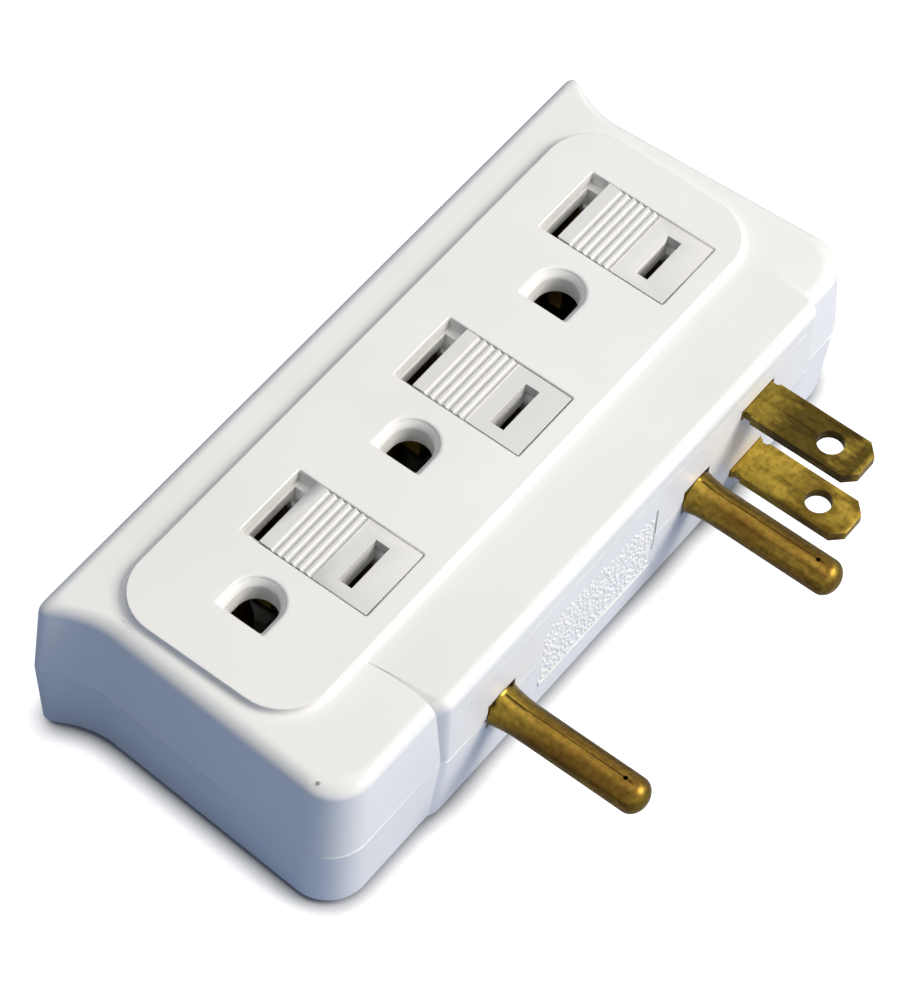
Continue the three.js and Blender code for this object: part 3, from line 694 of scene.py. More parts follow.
def run_tree(piece: Piece, tree: Tree, sizes: dict[str, object]) -> None:
    """Runs a geometry tree on a piece and keeps its result as plain mesh.

    Args:
        piece: The piece that goes in and is changed.
        tree: The tree.
        sizes: Value of each named input.
    """
    modifier = piece.modifiers.new(tree.name, "NODES")
    modifier.node_group = tree
    sockets = {item.name: item.identifier for item in tree.interface.items_tree if item.in_out == "INPUT"}
    for label, value in sizes.items():
        modifier[sockets[label]] = value
    bake(piece)


def groove_tree() -> Tree:
    """Tree that cuts a row of parallel round-bottomed grooves into a solid.

    Returns:
        The tree.
    """
    tree, given = new_tree("grip_grooves", {
        "Count": ("NodeSocketInt", 6),
        "First": ("NodeSocketVector", (0.0, 0.0, 0.0)),
        "Pitch": ("NodeSocketVector", (0.001, 0.0, 0.0)),
        "Radius": ("NodeSocketFloat", 0.0003),
        "Length": ("NodeSocketFloat", 0.02),
        "Material": ("NodeSocketMaterial", None),
    })
    size = given.outputs
    row = add_node(tree, "GeometryNodeMeshLine", {
        "Count": size["Count"], "Start Location": size["First"], "Offset": size["Pitch"],
    }, mode="OFFSET")
    bar = add_node(tree, "GeometryNodeMeshCylinder", {
        "Vertices": 24, "Radius": size["Radius"], "Depth": size["Length"],
    }, fill_type="NGON")
    bars = add_node(tree, "GeometryNodeInstanceOnPoints", {
        "Points": row, "Instance": bar, "Rotation": (math.pi / 2, 0, 0),
    })
    real = add_node(tree, "GeometryNodeRealizeInstances", {"Geometry": bars})
    cut = add_node(tree, "GeometryNodeMeshBoolean", {
        "Mesh 1": size["Geometry"], "Mesh 2": real,
    }, operation="DIFFERENCE", solver="MANIFOLD")
    end_tree(tree, cut, size["Material"])
    return tree


def corner_tree() -> Tree:
    """Tree that copies what goes in to the four corners of a rectangle, each copy turned at random.

    Returns:
        The tree.
    """
    tree, given = new_tree("corner_screws", {
        "Spacing X": ("NodeSocketFloat", 0.03),
        "Spacing Y": ("NodeSocketFloat", 0.09),
        "Centre": ("NodeSocketVector", (0.0, 0.0, 0.0)),
        "Seed": ("NodeSocketInt", 4),
        "Material": ("NodeSocketMaterial", None),
    })
    size = given.outputs
    grid = add_node(tree, "GeometryNodeMeshGrid", {
        "Vertices X": 2, "Vertices Y": 2, "Size X": size["Spacing X"], "Size Y": size["Spacing Y"],
    })
    placed = add_node(tree, "GeometryNodeTransform", {"Geometry": grid, "Translation": size["Centre"]})
    turn = add_node(tree, "FunctionNodeRandomValue", {
        0: (0.0, 0.0, 0.0), 1: (0.0, 0.0, math.pi), "Seed": size["Seed"],
    }, data_type="FLOAT_VECTOR")
    copies = add_node(tree, "GeometryNodeInstanceOnPoints", {
        "Points": placed, "Instance": size["Geometry"], "Rotation": turn,
    })
    end_tree(tree, copies, size["Material"])
    return tree


def stipple_tree() -> Tree:
    """Tree that scatters small flat domes over the sheet that goes in, and leaves the sheet out.

    Returns:
        The tree.
    """
    tree, given = new_tree("stippled_field", {
        "Spacing": ("NodeSocketFloat", 0.0005),
        "Density": ("NodeSocketFloat", 1000000.0),
        "Radius": ("NodeSocketFloat", 0.0003),
        "Flatness": ("NodeSocketVector", (0.5, 1.0, 1.0)),
        "Seed": ("NodeSocketInt", 7),
        "Material": ("NodeSocketMaterial", None),
    })
    size = given.outputs
    points = add_node(tree, "GeometryNodeDistributePointsOnFaces", {
        "Mesh": size["Geometry"], "Distance Min": size["Spacing"], "Density Max": size["Density"],
        "Seed": size["Seed"],
    }, distribute_method="POISSON")
    dome = add_node(tree, "GeometryNodeMeshIcoSphere", {"Subdivisions": 2, "Radius": size["Radius"]})
    domes = add_node(tree, "GeometryNodeInstanceOnPoints", {
        "Points": points, "Instance": dome, "Scale": size["Flatness"],
    })
    end_tree(tree, domes, size["Material"])
    return tree


# Sub-assemblies


@dataclass
class Housing:
    """One moulded half of the housing, with its outside made smooth and its inside taken from the frame."""

    finish: Material
    half: Half
    body_length: float = 103.4
    waist_draw: float = 1.7
    lip_rise: float = 2.1
    lip_sweep: float = 14.0
    lip_round: float = 2.2
    corner: float = 5.5
    front_depth: float = 12.5
    front_end_draft: float = 1.2
    back_end_draft: float = 0.8
    wall_draft: float = 0.6
    room_draft: float = 0.25
    edge: float = 1.6
    front_end_edge: float = 2.2
    seam: float = 0.18
    pad_stand: float = 0.6
    pad_rise: float = 0.35
    pad_low: float = 32.5
    pad_high: float = 41.4
    pad_low_ramp: float = 0.9
    pad_high_ramp: float = 1.0
    pad_spread: float = 0.12
    pad_splay: float = 0.16
    pad_sunk: float = -0.06
    panel_width: float = 27.8
    panel_length: float = 92.2
    panel_slope: float = 0.5
    panel_cove: float = 1.0
    cove_hollow: float = 1.5
    panel_edge: float = 0.12
    panel_corner: float = 6.6
    panel_from_wall: float = 11.9
    panel_middle: float = -0.3
    skin: float = 0.35
    rim: float = 0.22
    over: float = 0.012
    front: Box = field(default_factory=lambda: Box.of("front_cover"))
    back: Box = field(default_factory=lambda: Box.of("back_cover"))

    @property
    def room_x(self) -> float:
        """Room side at the parting plane."""
        return self.front.low.x

    @property
    def face_x(self) -> float:
        """The pad's face, which meets the wall."""
        return self.front.high.x

    @property
    def wall_x(self) -> float:
        """Wall side at the parting plane, beside the pad."""
        return self.face_x - self.pad_stand

    @property
    def parting_z(self) -> float:
        """Height of the parting plane."""
        return self.back.high.z

    @property
    def panel_z(self) -> float:
        """Height of the panel's face."""
        return self.front.high.z

    @property
    def depth(self) -> float:
        """Depth of the half from the parting plane to its flat outside."""
        return self.front_depth if self.half is Half.FRONT else self.parting_z

    def outline(self) -> list[Point]:
        """Plan at the parting plane: rounded wall-side corners, and lips that sweep out at the room side.

        Returns:
            The points.
        """
        end = self.body_length / 2
        waist = end - self.waist_draw
        sweep = math.acos(1 - self.lip_rise / self.lip_sweep)
        degrees = math.degrees(sweep)
        tip_x = self.room_x + self.lip_round * math.cos(sweep)
        sweep_x = tip_x + self.lip_sweep * math.sin(sweep)
        tip_y = waist + self.lip_rise
        corner_y = tip_y + self.lip_round * math.sin(sweep)
        high = arc(self.wall_x - self.corner, end - self.corner, self.corner, 0, 90)
        high += arc(sweep_x, waist + self.lip_sweep, self.lip_sweep, -90, -90 - degrees)
        steps = 10
        for i in range(1, steps + 1):
            t = i / steps
            x = tip_x * (1 - t) ** 2 + self.room_x * (2 * t * (1 - t) + t * t)
            y = tip_y * (1 - t) ** 2 + corner_y * 2 * t * (1 - t) + (corner_y - self.lip_round) * t * t
            high.append((x, y))
        return high + [(x, -y) for x, y in reversed(high)]

    def drawn_in(self, inset: float, share: float, end_inset: float | None = None) -> list[Point]:
        """The outline drawn in all round by one amount, and by a share of each side's draft.

        Args:
            inset: The amount at the two long sides.
            share: The share, 0 at the parting plane and 1 at the flat outside.
            end_inset: The amount at the two ends, where it isn't the same.

        Returns:
            The outline's points.
        """
        draft = self.front_end_draft if self.half is Half.FRONT else self.back_end_draft
        room = self.room_x + inset + self.room_draft * share
        wall = self.wall_x - inset - self.wall_draft * share
        scale_x = (wall - room) / (self.wall_x - self.room_x)
        end_inset = inset if end_inset is None else end_inset
        scale_y = 1 - (end_inset + draft * share) / (self.body_length / 2)
        return [(room + (x - self.room_x) * scale_x, y * scale_y) for x, y in self.outline()]

    def ordered(self, sections: list[Section]) -> list[Section]:
        """Sections at heights from the parting plane outwards, put at their real heights, lowest first."""
        placed = [(points, self.parting_z + self.half.value * height) for points, height in sections]
        return placed if self.half is Half.FRONT else placed[::-1]

    def outside(self) -> Piece:
        """Outside of the half: drafted sides, a rounded edge and the seam's fine chamfer.

        Returns:
            The solid.
        """
        depth = self.depth
        end_edge = self.front_end_edge if self.half is Half.FRONT else self.edge
        sections = [(self.drawn_in(self.seam, 0), 0.0), (self.drawn_in(0, self.seam / depth), self.seam)]
        for sine, cosine in quarter(12):
            height, reach = depth - self.edge + self.edge * sine, 1 - cosine
            sections.append((self.drawn_in(self.edge * reach, height / depth, end_edge * reach), height))
        return loft("outside", self.ordered(sections))

    def core(self) -> Piece:
        """What lies under the skin of the half and is taken from the frame.

        Returns:
            The solid.
        """
        foot, top = self.drawn_in(self.skin, 0), self.drawn_in(self.skin + self.edge, 1)
        return loft("core", self.ordered([(foot, -CLEAR), (foot, 0.0), (top, self.depth - self.skin)]))

    def pad_section(self, stand: float, rise: float, draft: float) -> list[Point]:
        """Section of the wall pad across its length.

        Args:
            stand: How far it stands out of the wall side.
            rise: How far it rises above the flat outside.
            draft: How far its face leans in.

        Returns:
            Points in X and Z.
        """
        face, top = self.wall_x + stand, self.depth + rise
        inner = self.face_x - self.panel_from_wall + self.panel_slope
        line = [(inner, 0.0), (face - self.seam, 0.0), (face, self.seam), (face - draft, top - self.edge)]
        line += arc(face - draft - self.edge, top - self.edge, self.edge, 0, 90, 10)[1:]
        line.append((inner, self.depth + min(rise, 0)))
        placed = [(x, self.parting_z + self.half.value * z) for x, z in line]
        return placed if self.half is Half.FRONT else placed[::-1]

    def pad_end(self, foot: float, ramp: float, spread: float) -> list[Section]:
        """Sections of one end of the wall pad, from its sharp foot to the full pad.

        Args:
            foot: The end's place at the wall face and the parting plane, as a height along the loft.
            ramp: Length of its bulge.
            spread: How far it leans out for each millimetre from the parting plane.

        Returns:
            The sections.
        """
        rise, draft = (self.pad_rise, 0.0) if self.half is Half.FRONT else (self.pad_sunk, self.wall_draft)
        full = self.pad_section(self.pad_stand, rise, draft)
        sunk = self.pad_section(self.pad_sunk, self.pad_sunk, self.wall_draft)

        def along(point: Point, start: float, lean: float) -> float:
            """Height along the loft of one point of the end's section."""
            splay = self.pad_splay * (point[0] - self.face_x)
            return start + math.copysign(splay + lean * abs(point[1] - self.parting_z), start)

        sections, steps = [], 8
        for i in range(steps + 1):
            share = i / steps
            bulge = math.sin(math.pi / 2 * share)
            points, heights = [], []
            for low, high in zip(sunk, full):
                points.append(tuple(a + (b - a) * bulge for a, b in zip(low, high)))
                start = along(low, foot, spread)
                stop = along(high, foot - math.copysign(ramp, foot), 0.0)
                heights.append(start + (stop - start) * share)
            sections.append((points, heights))
        return sections

    def wall_pad(self) -> Piece:
        """Pad that meets the wall, whose two ends splay apart and bulge up out of the housing.

        Returns:
            The solid.
        """
        low_end = self.pad_end(self.pad_low, self.pad_low_ramp, self.pad_spread)
        high_end = self.pad_end(-self.pad_high, self.pad_high_ramp, 0.0)
        return loft("pad", high_end + low_end[::-1], Axis.Y)

    def panel(self) -> Piece:
        """Raised panel, whose foot sweeps out in a hollow cove and whose edge is finely broken.

        Returns:
            The solid.
        """
        base = self.parting_z + self.front_depth
        x = self.face_x - self.panel_from_wall - self.panel_width / 2

        def outline(grow: float) -> list[Point]:
            """The panel's outline grown by an amount."""
            width, length = self.panel_width + 2 * grow, self.panel_length + 2 * grow
            return rounded_rectangle(x, self.panel_middle, width, length, self.panel_corner + grow)

        sections = [(outline(self.panel_cove), base - CLEAR)]
        rise = self.panel_z - base - self.panel_edge
        for sine, cosine in quarter(8):
            grow = self.panel_cove * (1 - sine) ** self.cove_hollow
            sections.append((outline(grow), base + rise * (1 - cosine)))
        for sine, cosine in quarter(3)[1:]:
            sections.append((outline(self.panel_edge * (cosine - 1)), base + rise + self.panel_edge * sine))
        return loft("panel", sections)

    def flared(self, outline: list[Point], floor: float, mouth: float, rim: float) -> Piece:
        """Cutter for a well with a rounded rim.

        Args:
            outline: The well's outline.
            floor: Height of its floor.
            mouth: Height of the face that it opens in.
            rim: Radius of the rim.

        Returns:
            The solid to cut with.
        """
        cx, cy = ((min(line) + max(line)) / 2 for line in zip(*outline))
        half_x, half_y = (max(line) - middle for line, middle in zip(zip(*outline), (cx, cy)))

        def grown(by: float) -> list[Point]:
            """The outline grown by an amount."""
            scale_x, scale_y = 1 + by / half_x, 1 + by / half_y
            return [(cx + (x - cx) * scale_x, cy + (y - cy) * scale_y) for x, y in outline]

        sections = [(outline, floor)]
        sections += [(grown(rim * (1 - cosine)), mouth - rim + rim * sine) for sine, cosine in quarter(5)]
        return loft("well", [*sections, (grown(rim), mouth + CLEAR)])


@dataclass
class Outlet:
    """One outlet's openings in the panel: the shutter's pocket and the ground hole."""

    place: Place
    housing: Housing
    pocket_length: float = 18.7
    pocket_width: float = 10.94
    pocket_depth: float = 2.0
    pocket_reach: float = 7.68
    outlet_line: float = 25.75
    ground_drop: float = 11.9
    hole_width: float = 5.5
    hole_flat: float = 2.6
    hole_depth: float = 5.0
    hole_corner: float = 0.35
    mouth_width: float = 6.6
    mouth_flat: float = 3.1
    mouth_depth: float = 1.3
    mouth_flare: float = 0.15
    mouth_hollow: float = 1.6
    rim_reach: float = 0.5
    rim_depth: float = 0.24
    corner: float = 0.3

    @property
    def line_x(self) -> float:
        """The ground holes' line."""
        return self.housing.face_x - self.outlet_line

    @property
    def row_y(self) -> float:
        """The slots' row, from the shutter in it."""
        return Box.of(f"shutter_{self.place.value}").middle.y

    def pocket(self) -> Piece:
        """Cutter for the shutter's pocket.

        Returns:
            The solid to cut with.
        """
        length, width = (size + 2 * self.housing.over for size in (self.pocket_length, self.pocket_width))
        middle_x = self.line_x - self.pocket_reach + self.pocket_length / 2
        outline = rounded_rectangle(middle_x, self.row_y, length, width, self.corner, 4)
        top = self.housing.panel_z
        floor = top - self.pocket_depth + self.housing.over
        return self.housing.flared(outline, floor, top, self.housing.rim)

    def hole_outline(self, width: float, flat: float) -> list[Point]:
        """D-shaped outline of the ground hole at its place.

        Args:
            width: Width across the round part.
            flat: Distance from its middle to the flat side.

        Returns:
            The points.
        """
        y, soft, radius = self.row_y - self.ground_drop, self.hole_corner, width / 2
        low = arc(self.line_x - radius + soft, y - flat + soft, soft, 180, 270, 4)
        low += arc(self.line_x + radius - soft, y - flat + soft, soft, 270, 360, 4)
        return low + arc(self.line_x, y, radius, 0, 180, 32)

    def ground_hole(self) -> Piece:
        """Cutter for the ground hole with its funnel mouth, whose round side has a wide soft rim.

        Returns:
            The solid to cut with.
        """
        top, steps = self.housing.panel_z, 8
        width = self.hole_width + 2 * self.housing.over
        flat = self.hole_flat + self.housing.over
        mouth_width, mouth_flat = self.mouth_width + 2 * self.mouth_flare, self.mouth_flat + self.mouth_flare
        sections = [(self.hole_outline(width, flat), top - self.hole_depth)]
        for i in range(steps):
            share = i / steps
            grow = share ** self.mouth_hollow
            ring = self.hole_outline(width + (mouth_width - width) * grow, flat + (mouth_flat - flat) * grow)
            sections.append((ring, top - self.mouth_depth + (self.mouth_depth - self.rim_depth) * share))
        for sine, cosine in quarter(steps):
            ring = self.hole_outline(mouth_width + 2 * self.rim_reach * (1 - cosine), mouth_flat)
            sections.append((ring, top - self.rim_depth * (1 - sine)))
        sections.append((ring, top + CLEAR))
        return loft("ground_hole", sections)


@dataclass
class Shell:
    """One shell, built from its half's forms and, on the front, the outlets' cutters."""

    housing: Housing
    outlets: Sequence[Outlet] = ()
    prong_gap: float = 0.2
    prong_depth: float = 2.2
    counterbore: float = 5.8
    counterbore_depth: float = 3.0
    counterbore_rim: float = 0.3
    mark_y: float = 8.76
    mark_low: float = 9.7
    mark_high: float = 18.5
    mark_width: float = 0.45
    mark_depth: float = 0.5
    line_heights: tuple[float, float] = (22.3, 23.2)
    line_low_gap: float = 1.5
    line_high_gap: float = 2.0
    line_width: float = 0.22
    line_depth: float = 0.14
    rim_low_y: float = -13.4
    rim_z: float = 6.4
    rim_width: float = 0.5
    rim_stand: float = 0.15

    def prong_mouths(self) -> list[Piece]:
        """Cutters for the prongs' slots through the skin of the wall side.

        Returns:
            The solids to cut with.
        """
        face, half = self.housing.face_x, self.housing.half
        row_z = self.housing.parting_z + half.value * SLOT_PITCH / 2
        blade = Box.of("hot_blade" if half is Half.FRONT else "neutral_blade")
        places = [(blade.middle.y, row_z, BLADE_WIDTH / 2, BLADE_THICKNESS / 2)]
        for pin in PINS:
            middle = Box.of(pin).middle
            places.append((middle.y, middle.z, PIN_RADIUS, PIN_RADIUS))
        mouths = []
        for y, z, *reach in places:
            reach_y, reach_z = (size + self.prong_gap + self.housing.over for size in reach)
            low = (face - self.prong_depth, y - reach_y, z - reach_z)
            mouths.append(block("mouth", low, (face + CLEAR, y + reach_y, z + reach_z)))
        return mouths

    def wall_marks(self) -> list[Piece]:
        """Cutters for the marks on the wall face: one short and upright, and two fine lines along its top.

        Returns:
            The solids to cut with.
        """
        housing, half_mark, half_line = self.housing, self.mark_width / 2, self.line_width / 2
        low_y, high_y = self.line_low_gap - housing.pad_low, housing.pad_high - self.line_high_gap
        out = housing.face_x + CLEAR
        low = (housing.face_x - self.mark_depth, self.mark_y - half_mark, self.mark_low)
        marks = [block("mark", low, (out, self.mark_y + half_mark, self.mark_high))]
        for height in self.line_heights:
            low = (housing.face_x - self.line_depth, low_y, height - half_line)
            marks.append(block("line", low, (out, high_y, height + half_line)))
        return marks

    def nameplate_rim(self) -> Piece:
        """Fine raised rim along the lower edge of the nameplate field.

        Returns:
            The solid.
        """
        lean = self.housing.wall_draft * (1 - self.rim_z / self.housing.parting_z)
        face, half_rim = self.housing.face_x - lean + self.rim_stand, self.rim_width / 2
        low = (face - CLEAR, self.rim_low_y, self.rim_z - half_rim)
        return block("rim", low, (face, self.mark_y, self.rim_z + half_rim))

    def counterbores(self) -> list[Piece]:
        """Cutters for the wells of the screws in the back.

        Returns:
            The solids to cut with.
        """
        over, wells = self.housing.over, []
        for screw in ScrewSet.NODES:
            middle = Box.of(screw).middle
            ring = circle(middle.x, middle.y, self.counterbore / 2 + over, count=48)
            well = self.housing.flared(ring, over - self.counterbore_depth, 0.0, self.counterbore_rim)
            # A well is made open upwards, and these open downwards.
            well.data.transform(Matrix.Scale(-1, 4, (0, 0, 1)))
            well.data.flip_normals()
            wells.append(well)
        return wells

    def build(self) -> None:
        """Makes and dresses the shell."""
        housing = self.housing
        side = housing.half.name.lower()
        node = f"{side}_cover"
        skin = combine(housing.outside(), Cut.JOIN, [housing.wall_pad()])
        inside = combine(housing.core(), Cut.REMOVE, [solid_copy(node, "inside")])
        cutters = [inside, *self.prong_mouths(), *self.wall_marks()]
        if housing.half is Half.FRONT:
            combine(skin, Cut.JOIN, [housing.panel()])
            cutters += [outlet.pocket() for outlet in self.outlets]
            cutters += [outlet.ground_hole() for outlet in self.outlets]
        else:
            combine(skin, Cut.JOIN, [self.nameplate_rim()])
            cutters += self.counterbores()
        combine(skin, Cut.REMOVE, cutters)
        skin.name = f"{side}_shell"
        flatten(skin)
        smooth(skin)
        dress(skin, housing.finish, "housing", [node])


@dataclass
class Shutter:
    """Sliding shutter: a thin plate with a grooved grip, its slot and two snap legs."""

    place: Place
    finish: Material
    grooves: Tree
    slot_x: float
    plate_thickness: float = 1.75
    rib_stand: float = 0.2
    grip_sunk: float = 0.2
    grip_margin: float = 0.4
    leg_overlap: float = 0.1
    band: float = 2.1
    count: int = 6
    pitch: float = 1.08
    groove_radius: float = 0.42
    groove_depth: float = 0.33
    slot_width: float = 2.0
    slot_length: float = 7.1
    edge: float = 0.18

    def build(self) -> None:
        """Makes and dresses the shutter."""
        node = f"shutter_{self.place.value}"
        box, clear = Box.of(node), Vector((CLEAR, CLEAR, CLEAR))
        grip_z = box.high.z
        plain_z = grip_z - self.rib_stand
        bottom = plain_z - self.plate_thickness
        plate = self.plate(box, bottom, plain_z)
        grip_end = box.low.x + self.band + (self.count - 1) * self.pitch + self.grip_margin
        low = (box.low.x, box.low.y, bottom + self.grip_sunk)
        combine(plate, Cut.JOIN, [block("grip", low, (grip_end, box.high.y, grip_z))])
        high = box.high + clear
        high.z = bottom + self.leg_overlap
        legs = combine(solid_copy(node, "legs"), Cut.KEEP, [block("below", box.low - clear, high)])
        combine(plate, Cut.JOIN, [legs])
        plate.name = f"{node}_slide"
        flatten(plate)
        break_edges(plate, self.edge, angle=60)
        groove_z = grip_z + self.groove_radius - self.groove_depth
        run_tree(plate, self.grooves, {
            "Count": self.count,
            "First": ((box.low.x + self.band) * MM, box.middle.y * MM, groove_z * MM),
            "Pitch": (self.pitch * MM, 0.0, 0.0),
            "Radius": self.groove_radius * MM,
            "Length": (box.high.y - box.low.y + 2 * CLEAR) * MM,
            "Material": self.finish,
        })
        smooth(plate, angle=40)
        dress(plate, self.finish, f"slider_{self.place.value}", [node])

    def plate(self, box: Box, bottom: float, top: float) -> Piece:
        """The plate with its slot.

        Args:
            box: The shutter's box.
            bottom: Height of its underside.
            top: Height of its plain face.

        Returns:
            The solid.
        """
        plate = block("plate", (box.low.x, box.low.y, bottom), (box.high.x, box.high.y, top))
        middle, half_x, half_y = box.middle.y, self.slot_width / 2, self.slot_length / 2
        low = (self.slot_x - half_x, middle - half_y, bottom - CLEAR)
        slot = block("slot", low, (self.slot_x + half_x, middle + half_y, top + CLEAR))
        return combine(plate, Cut.REMOVE, [slot])


@dataclass
class Prongs:
    """The two blades and the two rolled ground pins."""

    finishes: Finishes
    burr: float = 0.14
    tip_bevel: float = 0.55
    pin_sheet: float = 0.8
    pin_burr: float = 0.07
    seam: float = 0.1
    bore_start: float = 0.5
    bore_end_gap: float = 0.6
    root_flare: float = 0.45
    collar: float = 0.1
    root_start: float = 0.15
    root_length: float = 4.0
    root_sunk: float = 3.0
    tail_overlap: float = 0.2
    dome_share: float = 0.8
    crown_share: float = 0.08
    tip_hole: float = 0.6
    tip_hole_back: float = 1.4
    segments: int = 48

    def blade(self, node: str, finish: Material) -> None:
        """One blade with softly broken edges and a bevelled tip.

        Args:
            node: The node that it stands for.
            finish: Its brass.
        """
        piece = solid_copy(node, f"{node}_strip")
        flatten(piece)
        box, cut = Box.of(node), self.tip_bevel
        tip = box.high.x
        for side in (1, -1):
            face = box.middle.z + side * BLADE_THICKNESS / 2
            foot, out, past = face - side * cut, face + side * CLEAR, tip + CLEAR
            wedge = [(tip - cut, face), (tip, foot), (past, foot), (past, out), (tip - cut, out)]
            ends = [(wedge[::side], place) for place in (-box.high.y - CLEAR, -box.low.y + CLEAR)]
            combine(piece, Cut.REMOVE, [loft("wedge", ends, Axis.Y)])
        break_edges(piece, self.burr, angle=40)
        smooth(piece, angle=35)
        dress(piece, finish, "housing", [node])

    def profile(self, wall: float, tube_end: float, tip: float) -> list[Point]:
        """Half section of a pin from inside the housing to its tip.

        Args:
            wall: Place of the wall face along X.
            tube_end: Where the dome starts.
            tip: Its far end.

        Returns:
            Places along X with their radii.
        """
        line = [(wall - self.root_sunk, PIN_RADIUS), (wall + self.collar, PIN_RADIUS)]
        steps = 6
        for i in range(steps + 1):
            share = i / steps
            x = wall + self.root_start + (self.root_length - self.root_start) * share
            line.append((x, PIN_RADIUS + self.root_flare * (1 - share) ** 2))
        dome = tip - tube_end
        line += [(tube_end + dome * sine, PIN_RADIUS * cosine) for sine, cosine in quarter(9)[:-1]]
        return [*line, (tip, PIN_RADIUS * self.crown_share)]

    def pin(self, node: str, wall: float) -> None:
        """One ground pin: flared root, open seam, domed tip with a small hole, and the frame's flange inside.

        Args:
            node: The node that it stands for.
            wall: Place of the wall face along X.
        """
        box = Box.of(node)
        middle = box.middle
        tube_end = box.high.x - PIN_RADIUS * self.dome_share
        tube = self.turned(self.profile(wall, tube_end, box.high.x), middle)
        start, end = wall + self.bore_start, tube_end - self.bore_end_gap
        above = middle.z + PIN_RADIUS + CLEAR
        bore = self.turned([(x, PIN_RADIUS - self.pin_sheet) for x in (start, end)], middle)
        half_seam = self.seam / 2
        seam = block("seam", (start, middle.y - half_seam, middle.z), (end, middle.y + half_seam, above))
        ring = circle(tube_end - self.tip_hole_back, middle.y, self.tip_hole / 2, count=24)
        combine(tube, Cut.REMOVE, [bore, seam, loft("hole", [(ring, middle.z), (ring, above)])])
        clear = Vector((CLEAR, CLEAR, CLEAR))
        high = box.high + clear
        high.x = wall - self.root_sunk + self.tail_overlap
        tail = combine(solid_copy(node, "tail"), Cut.KEEP, [block("inside", box.low - clear, high)])
        combine(tube, Cut.JOIN, [tail])
        tube.name = f"{node}_rolled"
        flatten(tube)
        break_edges(tube, self.pin_burr, angle=50, segments=2)
        smooth(tube, angle=40)
        dress(tube, self.finishes.pin, "housing", [node])

    def turned(self, profile: Sequence[Point], middle: Vector) -> Piece:
        """Solid of revolution about a line along X, from places along it with their radii."""
        sections = [(circle(middle.y, middle.z, radius, self.segments), x) for x, radius in profile]
        return loft("turned", sections, Axis.X)

    def build(self, wall: float) -> None:
        """Makes and dresses all four prongs.

        Args:
            wall: Place of the wall face along X.
        """
        self.blade("hot_blade", self.finishes.hot_blade)
        self.blade("neutral_blade", self.finishes.neutral_blade)
        for node in PINS:
            self.pin(node, wall)


@dataclass
class Nameplate:
    """Bare stippled field on the wall face between the two pins."""

    finish: Material
    housing: Housing
    low_y: float = -13.4
    high_y: float = 8.2
    low_z: float = 6.9
    high_z: float = 18.6
    spacing: float = 0.5
    density: float = 3.0
    radius: float = 0.3
    flatness: float = 0.4
    seed: int = 7

    def sheet(self) -> Piece:
        """The wall face's own surface under the field, in one strip on each half.

        Returns:
            The sheet.
        """
        parting, seam = self.housing.parting_z, self.housing.seam
        lean = self.housing.wall_draft / parting
        form = bmesh.new()
        for low, high in ((self.low_z, parting - seam), (parting + seam, self.high_z)):
            corners = ((self.low_y, low), (self.high_y, low), (self.high_y, high), (self.low_y, high))
            places = ((self.housing.face_x - lean * max(parting - z, 0), y, z) for y, z in corners)
            form.faces.new([form.verts.new(Vector(place) * MM) for place in places])
        return make_object("nameplate_field", form)

    def build(self) -> None:
        """Makes and dresses the field."""
        piece = self.sheet()
        run_tree(piece, stipple_tree(), {
            "Spacing": self.spacing * MM,
            "Density": self.density / MM ** 2,
            "Radius": self.radius * MM,
            "Flatness": (self.flatness, 1.0, 1.0),
            "Seed": self.seed,
            "Material": self.finish,
        })
        smooth(piece, angle=60)
        dress(piece, self.finish, "housing")


@dataclass
class DustGrain:
    """The one grain of dust that lies on the front cover's lower edge."""

    finish: Material
    place: tuple[float, float, float] = (6.7, -49.3, 25.29)
    reach: float = 0.24
    height: float = 0.11
    unevenness: float = 0.3

    def build(self) -> None:
        """Makes and dresses the grain."""
        form = bmesh.new()
        bmesh.ops.create_icosphere(form, subdivisions=2, radius=self.reach * MM)
        for vertex in form.verts:
            vertex.co.z *= self.height / self.reach
            vertex.co.x *= 1 + self.unevenness * math.sin(vertex.co.y / (self.reach * MM) * 2)
            vertex.co += Vector(self.place) * MM
        grain = make_object("dust_grain", form)
        smooth(grain, angle=60)
        dress(grain, self.finish, "housing")


